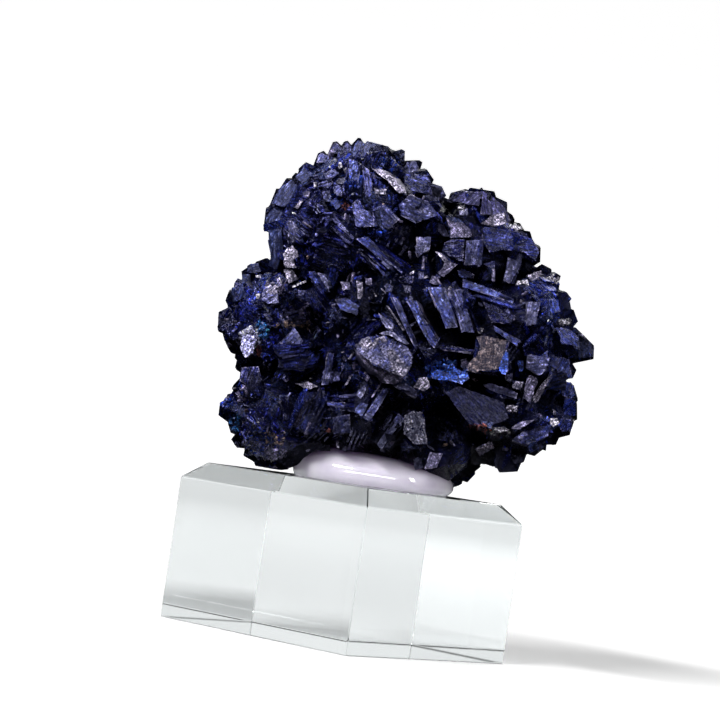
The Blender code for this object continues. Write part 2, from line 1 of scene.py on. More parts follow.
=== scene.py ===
"""Looks of the azurite specimen: dark blue bladed crystals, white putty and a clear acrylic block.

Sizes in the tables are millimetres; MM turns them into metres when a mesh is made.
The display side faces -Y. Outlines on that side are read on the plane y = 0 from EYE.
"""
import math
import random

import bmesh
import bpy
import numpy as np
from mathutils import Matrix, Vector, noise
from mathutils.bvhtree import BVHTree
from mathutils.kdtree import KDTree


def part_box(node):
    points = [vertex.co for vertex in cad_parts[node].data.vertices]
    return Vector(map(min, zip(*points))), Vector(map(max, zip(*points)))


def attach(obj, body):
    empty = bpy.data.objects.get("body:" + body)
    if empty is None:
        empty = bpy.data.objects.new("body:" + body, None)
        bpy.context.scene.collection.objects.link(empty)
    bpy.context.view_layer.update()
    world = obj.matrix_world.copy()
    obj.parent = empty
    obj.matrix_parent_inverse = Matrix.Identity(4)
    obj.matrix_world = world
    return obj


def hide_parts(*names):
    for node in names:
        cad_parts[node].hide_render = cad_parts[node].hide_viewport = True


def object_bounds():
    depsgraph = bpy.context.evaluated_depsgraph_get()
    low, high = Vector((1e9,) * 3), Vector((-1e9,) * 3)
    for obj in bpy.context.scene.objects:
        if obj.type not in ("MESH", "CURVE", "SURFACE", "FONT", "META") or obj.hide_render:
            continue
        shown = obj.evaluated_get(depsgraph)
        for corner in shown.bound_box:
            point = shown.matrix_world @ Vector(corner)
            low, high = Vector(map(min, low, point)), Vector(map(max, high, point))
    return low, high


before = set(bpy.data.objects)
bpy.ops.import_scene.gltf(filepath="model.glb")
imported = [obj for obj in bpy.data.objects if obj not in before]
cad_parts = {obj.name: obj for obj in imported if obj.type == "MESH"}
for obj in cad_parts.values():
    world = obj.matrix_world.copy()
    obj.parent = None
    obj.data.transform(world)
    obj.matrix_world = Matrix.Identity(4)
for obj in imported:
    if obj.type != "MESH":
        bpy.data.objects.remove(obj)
cad_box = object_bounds()

MM = 0.001
SEED = 11
CLUSTER = "azurite_cluster"
EYE = Vector((0.0, -423.7, 31.1))
# Direction of the painted light: the sides of each crystal that turn towards it get lighter tints, the others darker
# ones.
LIGHT_WAY = np.array((-0.45, -0.40, 0.80))
BLOCK_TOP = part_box("acrylic_base")[1][2] / MM
LIMIT_LOW, LIMIT_HIGH = (Vector(corner) / MM for corner in cad_box)
PUTTY_LOW, PUTTY_HIGH = (Vector(corner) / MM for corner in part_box("mounting_putty"))


# ---------------------------------------------------------------- colours

def srgb(red, green, blue):
    """A linear colour from 0 to 255 screen values."""
    return tuple(((c / 255.0 + 0.055) / 1.055) ** 2.4 if c > 10 else c / 255.0 / 12.92
                 for c in (red, green, blue))


TINTS = {
    "ink": srgb(2, 2, 24),
    "navy": srgb(7, 10, 56),
    "azure": srgb(17, 26, 86),
    "slate": srgb(25, 30, 78),
    "rind": srgb(31, 39, 76),
    "dome": srgb(54, 52, 96),
    "steel": srgb(56, 56, 88),
    # The pale tints from lavender to pearl stand partly for frosted faces and partly for painted reflections of the
    # lamps on bright facets.
    "lavender": srgb(103, 96, 126),
    "grey": srgb(92, 92, 110),
    "ash": srgb(120, 114, 132),
    "silver": srgb(146, 139, 160),
    "white": srgb(216, 210, 224),
    "pearl": srgb(176, 174, 220),
    "cobalt": srgb(18, 36, 106),
    "bright": srgb(46, 78, 176),
    "powder": srgb(60, 86, 168),
    "teal": srgb(38, 84, 140),
    "brown": srgb(88, 75, 73),
    "rust": srgb(116, 64, 54),
    "tan": srgb(140, 116, 100),
}

# Display faces: outline, slope in x, slope in z, depth, grain direction in degrees, finish and how far forward
# A slope of None follows the skin behind the face.
PLATES = (
    # the pitted plate, the lip round it and the shelf below it
    (((-3.2, 45.7), (-2.2, 46.9), (-1.3, 47.5), (-0.6, 46.6), (-0.1, 47.2), (1.2, 48.0), (1.8, 47.0), (3.6, 46.8),
      (5.0, 46.7), (5.9, 45.6), (6.2, 44.3), (5.9, 43.2), (5.2, 42.0), (3.8, 42.2), (1.0, 43.0), (-1.0, 43.9),
      (-2.6, 44.9)), -0.10, 0.15, 4.0, 55, "pitted"),
    (((-3.3, 45.5), (-1.2, 43.8), (1.0, 42.9), (5.2, 41.9), (5.0, 41.2), (4.0, 40.6), (2.6, 40.6), (1.6, 41.5),
      (-0.5, 42.4), (-2.7, 44.6)), 0.10, -0.45, 3.0, -28, "lavender"),
    (((3.8, 40.3), (5.6, 41.0), (7.2, 40.3), (7.6, 40.2), (7.5, 39.1), (7.0, 39.0)), 0.10, -0.30, 3.0, -20, "steel"),
    (((6.8, 40.6), (7.4, 42.1), (8.6, 42.5), (9.1, 41.8), (9.4, 41.0), (8.6, 40.2)), 0.10, -0.10, 3.0, 60, "silver"),
    (((0.3, 48.1), (1.6, 48.9), (3.3, 48.3), (4.3, 48.1), (5.2, 47.2), (4.9, 47.0), (3.4, 47.4), (2.0, 48.1)),
     0.00, 0.30, 2.0, -25, "steel"),
    # the book of parallel blades above it
    (((1.2, 54.0), (2.6, 54.0), (7.0, 46.6), (6.2, 46.6)), 0.50, 0.10, 4.0, -55, "slate"),
    (((3.7, 54.0), (5.3, 54.1), (6.4, 52.2), (9.6, 48.2), (9.2, 47.1), (8.4, 47.6), (6.2, 50.4)),
     0.20, 0.10, 5.0, -52, "slate_blue"),
    (((6.8, 56.3), (9.4, 56.7), (12.3, 50.8), (10.5, 50.4)), -0.20, 0.15, 5.0, -55, "slate_blue"),
    (((10.2, 56.3), (12.1, 56.8), (15.0, 50.4), (13.0, 50.1)), 0.30, 0.10, 5.0, -62, "slate"),
    (((-0.2, 51.3), (1.7, 50.4), (2.5, 49.8), (2.4, 48.8), (1.6, 48.8), (0.5, 50.0)), 0.10, 0.30, 3.0, -45, "steel"),
    (((0.8, 52.6), (1.1, 52.6), (4.3, 49.2), (4.0, 49.0)), 0.10, 0.20, 2.0, -47, "silver"),
    (((9.4, 47.9), (15.4, 47.7), (15.2, 46.9), (9.4, 47.1)), 0.00, -0.30, 4.0, 0, "navy"),
    (((10.4, 47.1), (14.9, 47.3), (14.9, 47.0), (10.4, 46.9)), 0.00, -0.10, 2.0, 0, "lavender"),
    # small crystals between the book and the rosette
    (((1.3, 60.2), (2.0, 60.2), (2.1, 59.5), (2.7, 59.4), (1.6, 58.5)), 0.10, 0.10, 3.0, 70, "steel"),
    (((1.5, 60.7), (2.0, 60.6), (2.9, 62.1), (2.6, 62.2)), 0.10, 0.10, 3.0, 55, "steel"),
    (((3.0, 61.6), (3.4, 61.5), (3.7, 60.0), (3.4, 60.1), (3.1, 60.8)), -0.20, 0.10, 3.0, -70, "lavender"),
    (((3.5, 58.1), (4.3, 58.6), (4.4, 58.0), (3.8, 57.9)), 0.00, 0.30, 2.0, 20, "silver"),
    (((3.0, 56.1), (4.3, 56.1), (4.2, 54.9), (3.4, 54.9)), 0.10, 0.10, 3.0, 80, "steel"),
    (((1.8, 57.0), (3.3, 57.9), (4.5, 57.7), (4.3, 56.5), (2.5, 56.4)), 0.00, 0.20, 3.0, 10, "navy"),
    (((-0.1, 56.1), (0.9, 55.9), (1.5, 55.6), (1.3, 54.8), (0.4, 54.7)), 0.10, 0.10, 3.0, 60, "slate"),
    (((-2.4, 58.9), (-1.3, 58.6), (0.2, 57.3), (-0.1, 56.9), (-1.5, 58.1)), 0.10, 0.20, 3.0, -38, "slate_blue"),
    (((5.3, 61.0), (5.6, 61.0), (5.9, 59.0), (5.4, 58.8)), -0.20, 0.10, 3.0, -80, "lavender"),
    (((5.7, 61.0), (6.0, 60.9), (6.1, 60.1), (5.8, 60.1)), -0.20, 0.10, 3.0, -80, "lavender"),
    (((5.0, 58.6), (5.9, 58.7), (6.0, 57.6), (5.2, 57.3)), 0.10, 0.10, 3.0, 80, "navy"),
    (((5.9, 57.7), (6.5, 58.2), (6.7, 57.9), (6.1, 57.6)), 0.00, 0.30, 2.0, 20, "silver"),
    (((6.9, 57.1), (7.2, 58.2), (8.2, 58.2), (9.0, 57.1), (7.6, 56.8)), 0.00, 0.10, 3.0, -40, "lavender"),
    (((10.0, 56.2), (10.9, 56.3), (10.9, 54.8), (10.3, 54.7)), -0.10, 0.10, 3.0, 80, "steel"),
    (((7.0, 56.0), (7.3, 56.0), (8.7, 53.5), (8.5, 53.3)), 0.20, 0.10, 3.0, -60, "lavender"),
    (((6.0, 55.9), (6.6, 56.3), (7.0, 56.2), (6.6, 55.7)), 0.00, 0.30, 2.0, 10, "steel"),
    (((-1.3, 54.2), (-0.9, 54.4), (-0.8, 53.8), (-1.1, 53.7)), 0.00, 0.10, 1.5, 80, "white"),
    (((-2.2, 53.5), (-1.9, 53.6), (-1.8, 53.1), (-2.1, 53.0)), 0.00, 0.10, 1.5, 80, "silver"),
    (((-1.9, 50.1), (-0.2, 50.3), (-0.2, 50.1), (-1.9, 49.9)), 0.00, 0.30, 2.0, 5, "steel"),
    # small crystals below the pitted plate
    (((2.2, 33.0), (3.2, 34.3), (4.6, 34.7), (4.4, 34.3), (3.0, 33.7)), 0.10, 0.20, 3.0, 40, "steel"),
    (((-3.9, 39.2), (-3.2, 40.9), (-3.0, 40.8), (-3.3, 39.6)), 0.00, 0.10, 2.0, 65, "silver"),
    (((-8.2, 28.2), (-7.4, 29.2), (-6.6, 30.2), (-6.0, 30.4), (-7.0, 28.6)), 0.10, 0.00, 3.0, 50, "steel"),
    (((-3.9, 30.0), (-3.0, 30.5), (-2.6, 30.8), (-2.4, 29.6), (-2.8, 29.9)), 0.10, 0.10, 2.0, 30, "silver"),
    (((9.1, 27.0), (10.2, 28.0), (10.9, 28.0), (10.4, 27.1)), 0.10, 0.00, 3.0, 30, "lavender"),
    (((10.2, 32.1), (11.2, 31.7), (11.5, 31.3), (10.4, 31.7)), 0.00, 0.20, 2.0, -20, "steel"),
    (((-6.1, 36.4), (-3.6, 36.8), (-2.6, 36.4), (-3.4, 36.0), (-6.0, 35.9)), 0.00, 0.20, 3.0, -5, "azure"),
    # the stained plate, its blue side, the powder and the slabs round it
    (((15.4, 49.8), (16.6, 50.1), (20.1, 49.9), (20.0, 48.2), (19.7, 46.4), (19.4, 45.2), (16.8, 44.6), (16.0, 44.2),
      (14.6, 44.4), (14.9, 45.8), (15.9, 46.9), (16.2, 48.4)), 0.05, -0.10, 5.0, 97, "brown"),
    (((20.2, 48.4), (20.6, 48.0), (20.8, 47.0), (21.0, 45.3), (20.7, 44.5), (20.1, 44.6), (19.5, 45.4), (19.8, 47.0)),
     0.25, -0.10, 4.0, 97, "bright"),
    (((20.1, 49.9), (20.5, 49.8), (20.7, 48.0), (20.2, 48.3)), 0.30, -0.10, 3.0, 97, "navy"),
    (((16.0, 44.2), (19.3, 44.9), (19.5, 44.2), (16.6, 44.0)), 0.00, -0.40, 3.0, 5, "lavender"),
    (((13.5, 45.9), (14.3, 46.3), (15.0, 45.3), (14.6, 44.4), (13.7, 44.8)), -0.30, 0.10, 3.0, 30, "lavender"),
    (((9.1, 43.2), (10.1, 43.9), (11.2, 43.6), (11.7, 44.9), (12.6, 45.1), (13.2, 44.3), (14.8, 44.1), (15.2, 43.2),
      (14.3, 42.1), (12.2, 42.5), (10.5, 42.3), (9.4, 42.4)), 0.00, 0.10, 2.0, 10, "powder", 0.3),
    (((15.2, 43.5), (16.0, 43.5), (16.7, 43.1), (16.3, 42.8), (15.4, 43.0)), 0.00, 0.00, 2.0, 0, "white"),
    (((20.6, 44.4), (21.8, 45.1), (21.9, 44.0), (21.7, 43.3), (20.8, 43.8)), 0.20, 0.00, 2.0, 60, "steel"),
    (((17.4, 42.6), (18.4, 43.0), (21.5, 42.6), (23.0, 42.0), (22.9, 41.2), (19.9, 41.6), (18.3, 42.0)),
     0.00, 0.50, 4.0, -10, "steel"),
    (((11.8, 40.5), (13.8, 41.8), (21.0, 40.3), (22.3, 38.0), (19.6, 36.4), (16.4, 36.0)),
     0.10, -0.20, 6.0, -35, "slate"),
    (((23.6, 48.1), (24.2, 48.3), (27.1, 48.1), (26.9, 46.2), (25.9, 45.1), (23.7, 46.1)),
     0.10, -0.10, 3.0, 10, "steel"),
    (((22.2, 47.0), (23.2, 47.2), (23.4, 45.6), (22.8, 45.3)), 0.00, 0.10, 2.0, 80, "bright"),
    (((24.0, 44.7), (24.7, 45.3), (25.9, 44.5), (25.1, 40.8), (23.9, 41.4)), -0.20, 0.10, 3.0, 70, "lavender"),
    (((26.7, 44.4), (27.9, 45.8), (26.3, 41.2), (25.3, 40.4), (24.6, 40.3)), -0.40, 0.10, 3.0, 60, "silver"),
    (((21.8, 43.1), (22.4, 43.9), (23.8, 43.9), (23.4, 42.6), (22.1, 42.7)), 0.20, 0.20, 3.0, 10, "silver"),
    (((28.2, 48.6), (30.2, 48.4), (31.0, 45.6), (28.6, 45.4)), 0.60, 0.00, 4.0, 60, "slate_blue"),
    (((22.3, 56.3), (24.5, 56.5), (24.3, 53.0), (22.8, 52.6)), -0.10, 0.10, 3.0, 85, "steel"),
    (((12.0, 58.4), (16.6, 57.5), (20.4, 56.4), (20.2, 55.8), (12.2, 57.2)), 0.00, 0.50, 4.0, -14, "slate_blue"),
    (((15.6, 55.4), (21.4, 53.7), (20.0, 52.4), (17.4, 52.3)), 0.05, -0.20, 5.0, -18, "navy"),
    (((17.8, 51.9), (20.3, 50.9), (22.3, 50.2), (21.9, 49.2), (20.0, 50.2), (18.0, 51.1)),
     0.00, 0.40, 3.0, -22, "slate_blue"),
    (((14.8, 51.1), (15.3, 51.3), (16.4, 51.2), (16.0, 50.3), (15.1, 50.5)), 0.00, 0.10, 2.0, 30, "white"),
    (((22.1, 39.9), (23.2, 40.0), (23.3, 39.1), (22.6, 38.8)), 0.00, 0.10, 2.0, 30, "white"),
    (((28.6, 38.8), (29.6, 39.1), (29.9, 38.1), (28.8, 37.8)), 0.00, 0.10, 2.0, 30, "white"),
    (((27.6, 54.2), (28.8, 54.4), (29.3, 53.8), (28.0, 53.6)), 0.00, 0.10, 2.0, 10, "silver"),
    (((25.5, 60.3), (26.2, 60.7), (26.5, 59.8), (25.9, 59.5)), 0.00, 0.10, 2.0, 30, "white"),
    # dark crystals that close the notches of the right side
    (((30.0, 44.9), (31.0, 44.9), (31.6, 44.2), (31.8, 43.0), (31.3, 42.2), (29.9, 42.6), (29.6, 43.8)),
     None, None, 5.0, 80, "azure"),
    (((30.4, 42.3), (31.6, 42.5), (32.2, 41.8), (32.4, 40.6), (32.3, 39.8), (30.9, 39.2), (30.3, 40.6)),
     None, None, 5.0, 75, "azure"),
    (((30.2, 39.2), (31.8, 39.1), (32.1, 38.2), (31.9, 37.3), (30.6, 37.1), (29.9, 38.0)),
     None, None, 5.0, 60, "azure"),
    (((27.2, 47.0), (28.4, 46.6), (28.7, 48.2), (27.6, 48.8)), 0.10, 0.10, 3.0, 70, "slate_blue"),
    (((27.4, 53.0), (29.4, 53.2), (31.2, 52.0), (31.2, 50.6), (28.6, 50.7)), None, None, 4.0, 0, "azure"),
    (((25.6, 57.2), (27.2, 57.4), (27.8, 55.6), (26.4, 55.0)), None, None, 4.0, 70, "slate_blue"),
    (((27.0, 43.7), (27.5, 43.8), (28.2, 45.9), (27.5, 46.1)), -0.20, 0.10, 3.0, 72, "steel"),
    (((28.7, 40.4), (29.2, 40.2), (29.4, 39.5), (28.9, 39.5)), 0.00, 0.10, 2.0, 70, "silver"),
    (((16.9, 32.9), (21.6, 32.5), (21.3, 30.8), (20.0, 30.4), (17.4, 30.0)), 0.40, -0.80, 5.0, 10, "ink"),
    (((-20.1, 39.8), (-17.5, 40.4), (-16.6, 38.3), (-18.4, 36.9), (-20.2, 37.9)), -0.10, 0.00, 5.0, 80, "navy"),
    (((15.4, 31.4), (18.9, 31.6), (19.0, 29.9), (17.6, 28.4), (15.9, 27.6)), 0.20, -0.30, 5.0, 70, "ink"),
    # below the stained plate
    (((23.0, 34.6), (24.6, 36.2), (28.9, 38.0), (28.6, 36.0), (25.7, 34.0)), 0.20, -0.30, 4.0, 28, "slate"),
    (((22.7, 36.4), (24.4, 37.9), (26.1, 38.3), (24.2, 36.5)), 0.00, 0.30, 3.0, 30, "lavender"),
    (((19.6, 36.0), (21.6, 36.6), (22.6, 36.2), (21.2, 35.5)), 0.00, 0.30, 3.0, 10, "white"),
    (((17.6, 32.6), (19.9, 34.2), (20.7, 33.1), (18.6, 31.5)), 0.00, 0.10, 3.0, 30, "pitted"),
    (((6.0, 36.0), (7.2, 36.9), (8.8, 37.0), (9.3, 36.0), (9.6, 34.4), (10.3, 32.1), (8.2, 31.9), (6.2, 33.4), (6.3, 34.8)),
     0.10, -0.10, 4.0, -60, "grey"),
    (((10.3, 28.2), (10.8, 31.0), (12.8, 31.1), (12.2, 28.8)), 0.00, 0.10, 3.0, 75, "lavender"),
    (((8.3, 29.6), (9.6, 30.2), (10.2, 28.4), (8.9, 27.9)), 0.00, 0.10, 3.0, 65, "steel"),
    (((5.1, 36.3), (6.1, 35.6), (3.3, 30.4), (2.3, 30.8)), 0.30, 0.10, 3.0, 62, "slate"),
    (((2.2, 39.9), (3.4, 40.1), (2.2, 37.2), (0.9, 34.4), (-0.2, 34.8)), 0.30, 0.10, 4.0, 65, "slate"),
    (((-0.7, 39.9), (-0.3, 39.2), (-1.0, 37.6), (-1.9, 38.1), (-1.6, 38.9)), -0.10, 0.10, 4.0, 60, "steel"),
    (((-1.0, 37.2), (0.3, 37.0), (-0.4, 34.9), (-1.9, 35.6)), -0.10, 0.10, 4.0, 62, "slate_blue"),
    (((-5.0, 34.2), (-2.4, 35.0), (-1.8, 32.2), (-4.4, 31.6)), -0.10, -0.20, 4.0, 60, "slate"),
    (((1.9, 41.1), (2.1, 41.0), (0.7, 37.9), (0.5, 38.0)), 0.10, 0.10, 1.5, 66, "lavender"),
    # the shoulder's faces
    (((8.0, 70.3), (9.7, 71.9), (12.2, 72.2), (13.1, 72.4), (12.9, 70.0), (10.8, 70.0)), None, None, 3.0, 95, "dome"),
    (((13.1, 72.4), (14.0, 72.3), (16.4, 70.8), (17.4, 69.8), (18.1, 68.5), (17.8, 67.9), (17.0, 69.4), (15.3, 69.0),
      (13.3, 68.8)), None, None, 3.0, 75, "dome"),
    (((13.1, 69.9), (13.9, 69.9), (13.9, 68.7), (13.4, 68.5)), -0.10, 0.10, 3.0, 80, "lavender"),
    (((14.0, 66.9), (20.3, 67.0), (22.0, 66.0), (23.2, 64.3), (22.9, 62.7), (20.9, 63.9), (17.6, 63.8), (15.5, 63.0),
      (14.0, 64.9)), 0.30, -0.05, 5.0, 0, "azure"),
    (((13.5, 67.3), (15.0, 68.9), (16.9, 69.5), (17.9, 67.3), (16.6, 67.1)), 0.00, 0.25, 3.0, 25, "silver"),
    # a painted glint: a small white face where the shoulder's edge catches the light
    (((18.2, 67.3), (18.8, 68.1), (20.0, 67.5), (19.3, 67.2)), 0.10, 0.20, 2.0, 10, "white"),
    (((8.0, 67.6), (9.0, 67.0), (10.6, 67.2), (12.6, 66.0), (12.5, 65.1), (9.2, 64.3), (9.0, 65.8)),
     0.10, 0.10, 4.0, -40, "lavender"),
    (((8.2, 62.3), (8.4, 63.6), (9.5, 64.3), (11.4, 64.5), (11.7, 60.9), (8.8, 61.9)), -0.20, -0.20, 4.0, 15, "navy"),
    (((11.7, 64.4), (14.4, 65.0), (14.6, 61.0), (11.9, 60.5)), 0.20, -0.10, 4.0, 90, "slate"),
    (((18.3, 59.0), (18.5, 63.0), (19.4, 63.9), (20.6, 63.8), (20.8, 62.0), (20.1, 60.4), (19.4, 58.7)),
     0.10, 0.05, 5.0, 86, "steel"),
    (((14.9, 61.2), (16.6, 62.0), (16.7, 60.6), (15.9, 60.7)), -0.20, 0.00, 4.0, 20, "slate"),
    (((16.3, 60.6), (16.8, 60.7), (17.0, 58.7), (16.5, 58.7)), -0.20, 0.00, 3.0, 86, "lavender"),
    (((20.2, 58.6), (20.4, 59.3), (22.0, 59.8), (22.5, 58.8), (21.4, 59.0)), 0.10, 0.50, 3.0, 30, "white"),
    (((21.6, 60.4), (23.9, 61.5), (23.9, 60.1), (22.6, 59.6)), 0.10, 0.50, 3.0, 35, "silver"),
    (((11.0, 59.6), (11.8, 60.1), (13.8, 59.3), (13.6, 58.6), (11.4, 58.5)), 0.00, 0.30, 3.0, -8, "slate_blue"),
    (((9.5, 69.2), (10.2, 70.0), (10.7, 69.9), (10.6, 69.1)), 0.00, 0.30, 2.0, 30, "white"),
    (((10.0, 68.9), (11.2, 69.4), (11.5, 68.3), (10.0, 68.2)), 0.00, 0.10, 2.0, 70, "steel"),
    (((6.6, 65.8), (7.0, 66.4), (7.9, 66.4), (9.0, 64.6), (7.9, 64.5)), 0.00, 0.10, 3.0, -50, "steel"),
    # between the rosette and the shoulder
    (((3.9, 63.8), (6.2, 64.2), (6.3, 62.2), (4.5, 60.7), (4.1, 61.4)), -0.10, 0.10, 4.0, 80, "pitted"),
    (((7.2, 62.0), (8.2, 62.0), (9.4, 61.0), (8.8, 60.6)), 0.10, 0.30, 3.0, -35, "silver"),
    (((8.9, 61.0), (10.9, 60.5), (9.0, 58.2), (7.9, 58.7), (8.7, 59.7)), 0.10, -0.10, 4.0, 40, "lavender"),
    (((0.4, 68.4), (2.0, 70.3), (5.0, 69.6), (6.8, 67.7), (3.5, 65.9), (1.0, 66.8)),
     0.15, 0.10, 5.0, -10, "slate"),
    (((0.6, 73.4), (4.2, 73.7), (5.2, 72.2), (4.9, 70.7), (1.2, 70.9)), None, None, 4.0, 5, "azure"),
    (((5.2, 72.1), (6.9, 71.8), (6.7, 70.4), (5.4, 70.2)), 0.10, 0.00, 4.0, 80, "ink"),
    # the rosette's faces
    (((-3.4, 67.0), (-1.7, 68.3), (1.0, 66.2), (-0.5, 64.5), (-3.0, 65.0)), 0.05, -0.10, 4.0, -35, "slate"),
    (((-4.6, 73.4), (-3.3, 73.6), (-0.3, 72.1), (1.4, 70.4), (0.2, 70.2), (-2.0, 72.0)),
     0.05, 0.40, 3.0, -40, "silver"),
    (((-3.6, 70.4), (-1.6, 70.6), (-1.7, 69.7), (-3.4, 69.6)), 0.10, 0.30, 3.0, 5, "silver"),
    (((-9.4, 71.2), (-8.1, 71.7), (-7.6, 70.9), (-9.3, 70.5)), 0.00, 0.30, 3.0, 10, "lavender"),
    (((-5.3, 62.2), (-3.7, 62.8), (1.3, 59.5), (1.0, 58.3), (-1.8, 60.0)), 0.10, 0.20, 4.0, -33, "slate_blue"),
    (((-6.6, 67.0), (-3.6, 66.8), (-2.2, 64.6), (-5.6, 64.0)), -0.10, 0.10, 4.0, -30, "slate"),
    (((-16.1, 63.5), (-15.2, 63.5), (-14.4, 62.3), (-14.4, 60.9), (-15.0, 60.2), (-15.9, 61.2)),
     -0.30, 0.00, 3.0, -65, "steel"),
    # the white pitted pair below the rosette
    (((-16.2, 58.3), (-15.7, 59.3), (-15.0, 59.8), (-14.2, 59.2), (-13.8, 58.2), (-14.4, 57.6), (-14.2, 56.9),
      (-13.8, 56.4), (-15.6, 56.2), (-16.1, 57.2)), -0.20, 0.10, 3.0, 80, "chalky", 0.8),
    (((-15.9, 55.8), (-15.4, 56.1), (-14.4, 56.1), (-13.8, 55.3), (-13.1, 54.8), (-14.0, 54.2), (-14.7, 53.9),
      (-15.3, 54.9)), -0.10, 0.30, 4.0, 75, "chalky", 2.4),
    (((-14.2, 53.5), (-12.1, 54.7), (-12.0, 54.4), (-14.0, 53.2)), 0.00, 0.30, 2.0, 30, "white", 1.0),
    # smooth slabs round the left of the view
    (((-19.9, 64.4), (-19.3, 66.0), (-17.8, 66.6), (-16.8, 63.6), (-17.2, 61.0), (-18.9, 61.0), (-19.7, 63.0)),
     None, None, 3.0, 100, "rind"),
    (((-19.2, 65.8), (-18.2, 68.4), (-16.6, 69.9), (-15.0, 68.6), (-15.8, 66.4), (-17.4, 65.4)),
     None, None, 3.0, 70, "rind"),
    (((-18.9, 61.8), (-17.1, 61.8), (-16.4, 59.4), (-16.5, 57.2), (-16.8, 55.6), (-18.2, 56.1), (-18.1, 57.9),
      (-18.6, 59.6)),
     None, None, 3.0, 85, "rind"),
    (((-21.5, 55.6), (-20.9, 56.1), (-19.9, 56.3), (-19.2, 55.0), (-20.6, 54.5), (-21.4, 54.6)),
     None, None, 3.0, 20, "rind"),
    (((-22.1, 54.2), (-20.8, 54.4), (-20.4, 52.6), (-21.9, 52.9)), None, None, 3.0, 75, "rind"),
    (((-23.4, 51.9), (-22.4, 52.1), (-21.9, 52.8), (-21.0, 50.8), (-22.6, 49.8), (-23.2, 51.0)),
     None, None, 3.0, 75, "rind"),
    (((-16.2, 70.4), (-14.9, 72.0), (-13.6, 71.4), (-14.6, 69.4)), None, None, 3.0, 60, "rind"),
    # dark crystals down to the putty
    # the left lobe and what lies between it and the middle
    (((-18.6, 52.3), (-17.6, 53.2), (-16.4, 52.5), (-16.0, 51.7), (-15.8, 50.6), (-17.4, 50.2), (-18.5, 50.6)),
     -0.10, 0.30, 3.0, 40, "steel"),
    (((-20.0, 54.3), (-19.3, 54.6), (-19.1, 54.0), (-19.9, 54.0)), 0.00, 0.20, 2.0, 10, "white"),
    (((-19.5, 51.4), (-18.8, 51.7), (-18.8, 50.9), (-19.4, 50.7)), 0.00, 0.10, 2.0, 80, "white"),
    (((-14.9, 44.4), (-12.8, 47.2), (-11.2, 45.3), (-11.4, 44.2)), 0.15, 0.10, 5.0, 50, "slate"),
    (((-11.5, 38.6), (-9.5, 39.1), (-7.8, 38.6), (-9.4, 37.8)), 0.00, 0.50, 3.0, 0, "silver"),
    (((-7.4, 38.8), (-7.2, 44.0), (-6.1, 44.1), (-6.3, 38.9)), 0.30, 0.00, 4.0, 88, "slate"),
    (((-7.2, 52.4), (-5.6, 53.0), (-3.3, 51.9), (-3.5, 50.4), (-6.2, 51.0)), 0.00, 0.20, 4.0, -20, "slate_blue"),
    (((-10.5, 56.1), (-9.3, 56.1), (-8.7, 54.9), (-8.4, 53.7), (-9.3, 54.6)), -0.10, 0.10, 4.0, -50, "steel"),
    (((-4.4, 55.8), (-3.3, 55.7), (-2.9, 53.1), (-3.7, 53.0)), 0.00, 0.10, 3.0, 80, "silver"),
    (((-6.8, 55.2), (-5.4, 55.4), (-5.0, 54.2), (-6.2, 53.9)), 0.00, 0.20, 3.0, -30, "lavender"),
    (((-3.0, 56.3), (-2.0, 56.5), (-1.7, 55.3), (-2.8, 55.4)), 0.10, 0.20, 3.0, 20, "lavender"),
    (((-13.2, 53.1), (-12.0, 53.1), (-12.1, 52.3), (-12.9, 52.1)), 0.00, 0.10, 3.0, 60, "steel"),
    (((-4.9, 46.0), (-4.5, 46.2), (-4.3, 46.0), (-4.8, 45.7)), 0.00, 0.10, 1.5, 30, "white"),
    (((-3.9, 43.5), (-3.2, 44.8), (-3.0, 44.6), (-3.6, 43.4)), 0.00, 0.10, 1.5, 62, "silver"),
    (((-12.8, 26.2), (-10.7, 25.3), (-9.4, 25.9), (-8.1, 27.5), (-9.4, 29.0), (-12.0, 27.9)), -0.20, -0.40, 4.0, 60, "ink"),
    (((-10.4, 28.9), (-9.9, 27.2), (-8.6, 27.2), (-6.9, 28.7), (-4.5, 28.9), (-4.7, 29.8), (-7.6, 29.9)), 0.10, -0.50, 4.0, 35,
     "ink"),
    (((26.4, 46.3), (30.2, 46.2), (30.4, 43.4), (26.6, 43.2)), 0.30, 0.0, 3.0, 20, "ink", -1.2),
    # small pale chips
    (((-20.7, 45.8), (-19.2, 46.3), (-18.3, 44.8), (-18.6, 42.4), (-19.7, 41.4), (-20.8, 42.8)), -0.10, 0.30, 3.0, 80, "pearl", 0.3),
    (((-9.9, 73.5), (-9.3, 73.8), (-8.9, 73.0), (-9.5, 72.6)), None, None, 2.0, 60, "white", 0.5),
    (((-8.9, 72.7), (-8.4, 73.1), (-8.1, 72.3), (-8.6, 71.9)), None, None, 2.0, 20, "white", 0.5),
    (((-13.2, 70.0), (-12.7, 70.1), (-12.5, 69.4), (-13.0, 69.1)), None, None, 2.0, 80, "white", 0.5),
    (((-15.6, 65.6), (-15.2, 65.4), (-14.3, 66.8), (-14.8, 67.1)), None, None, 2.0, 50, "silver", 0.5),
    (((28.6, 38.9), (29.6, 39.2), (30.1, 38.3), (29.2, 37.6), (28.6, 38.1)), 0.10, 0.20, 2.0, 30, "white", 0.6),
    (((-3.8, 30.4), (-2.9, 30.9), (-2.5, 30.0), (-3.0, 29.5), (-3.7, 29.7)), 0.0, 0.1, 2.0, 60, "silver", 0.2),
    (((-7.7, 29.3), (-7.4, 30.2), (-6.5, 30.2), (-6.6, 29.3), (-7.4, 28.8)), 0.0, 0.1, 2.0, 30, "grey", 0.3),
    (((-8.4, 28.7), (-7.9, 29.1), (-7.6, 28.5), (-8.2, 28.2)), 0.0, 0.1, 2.0, 30, "grey", 0.3),
    # the slabs and chips in the middle of the rosette
    (((-8.2, 74.3), (-7.0, 74.3), (-6.2, 72.6), (-6.2, 70.8), (-7.4, 70.5), (-8.0, 72.4)),
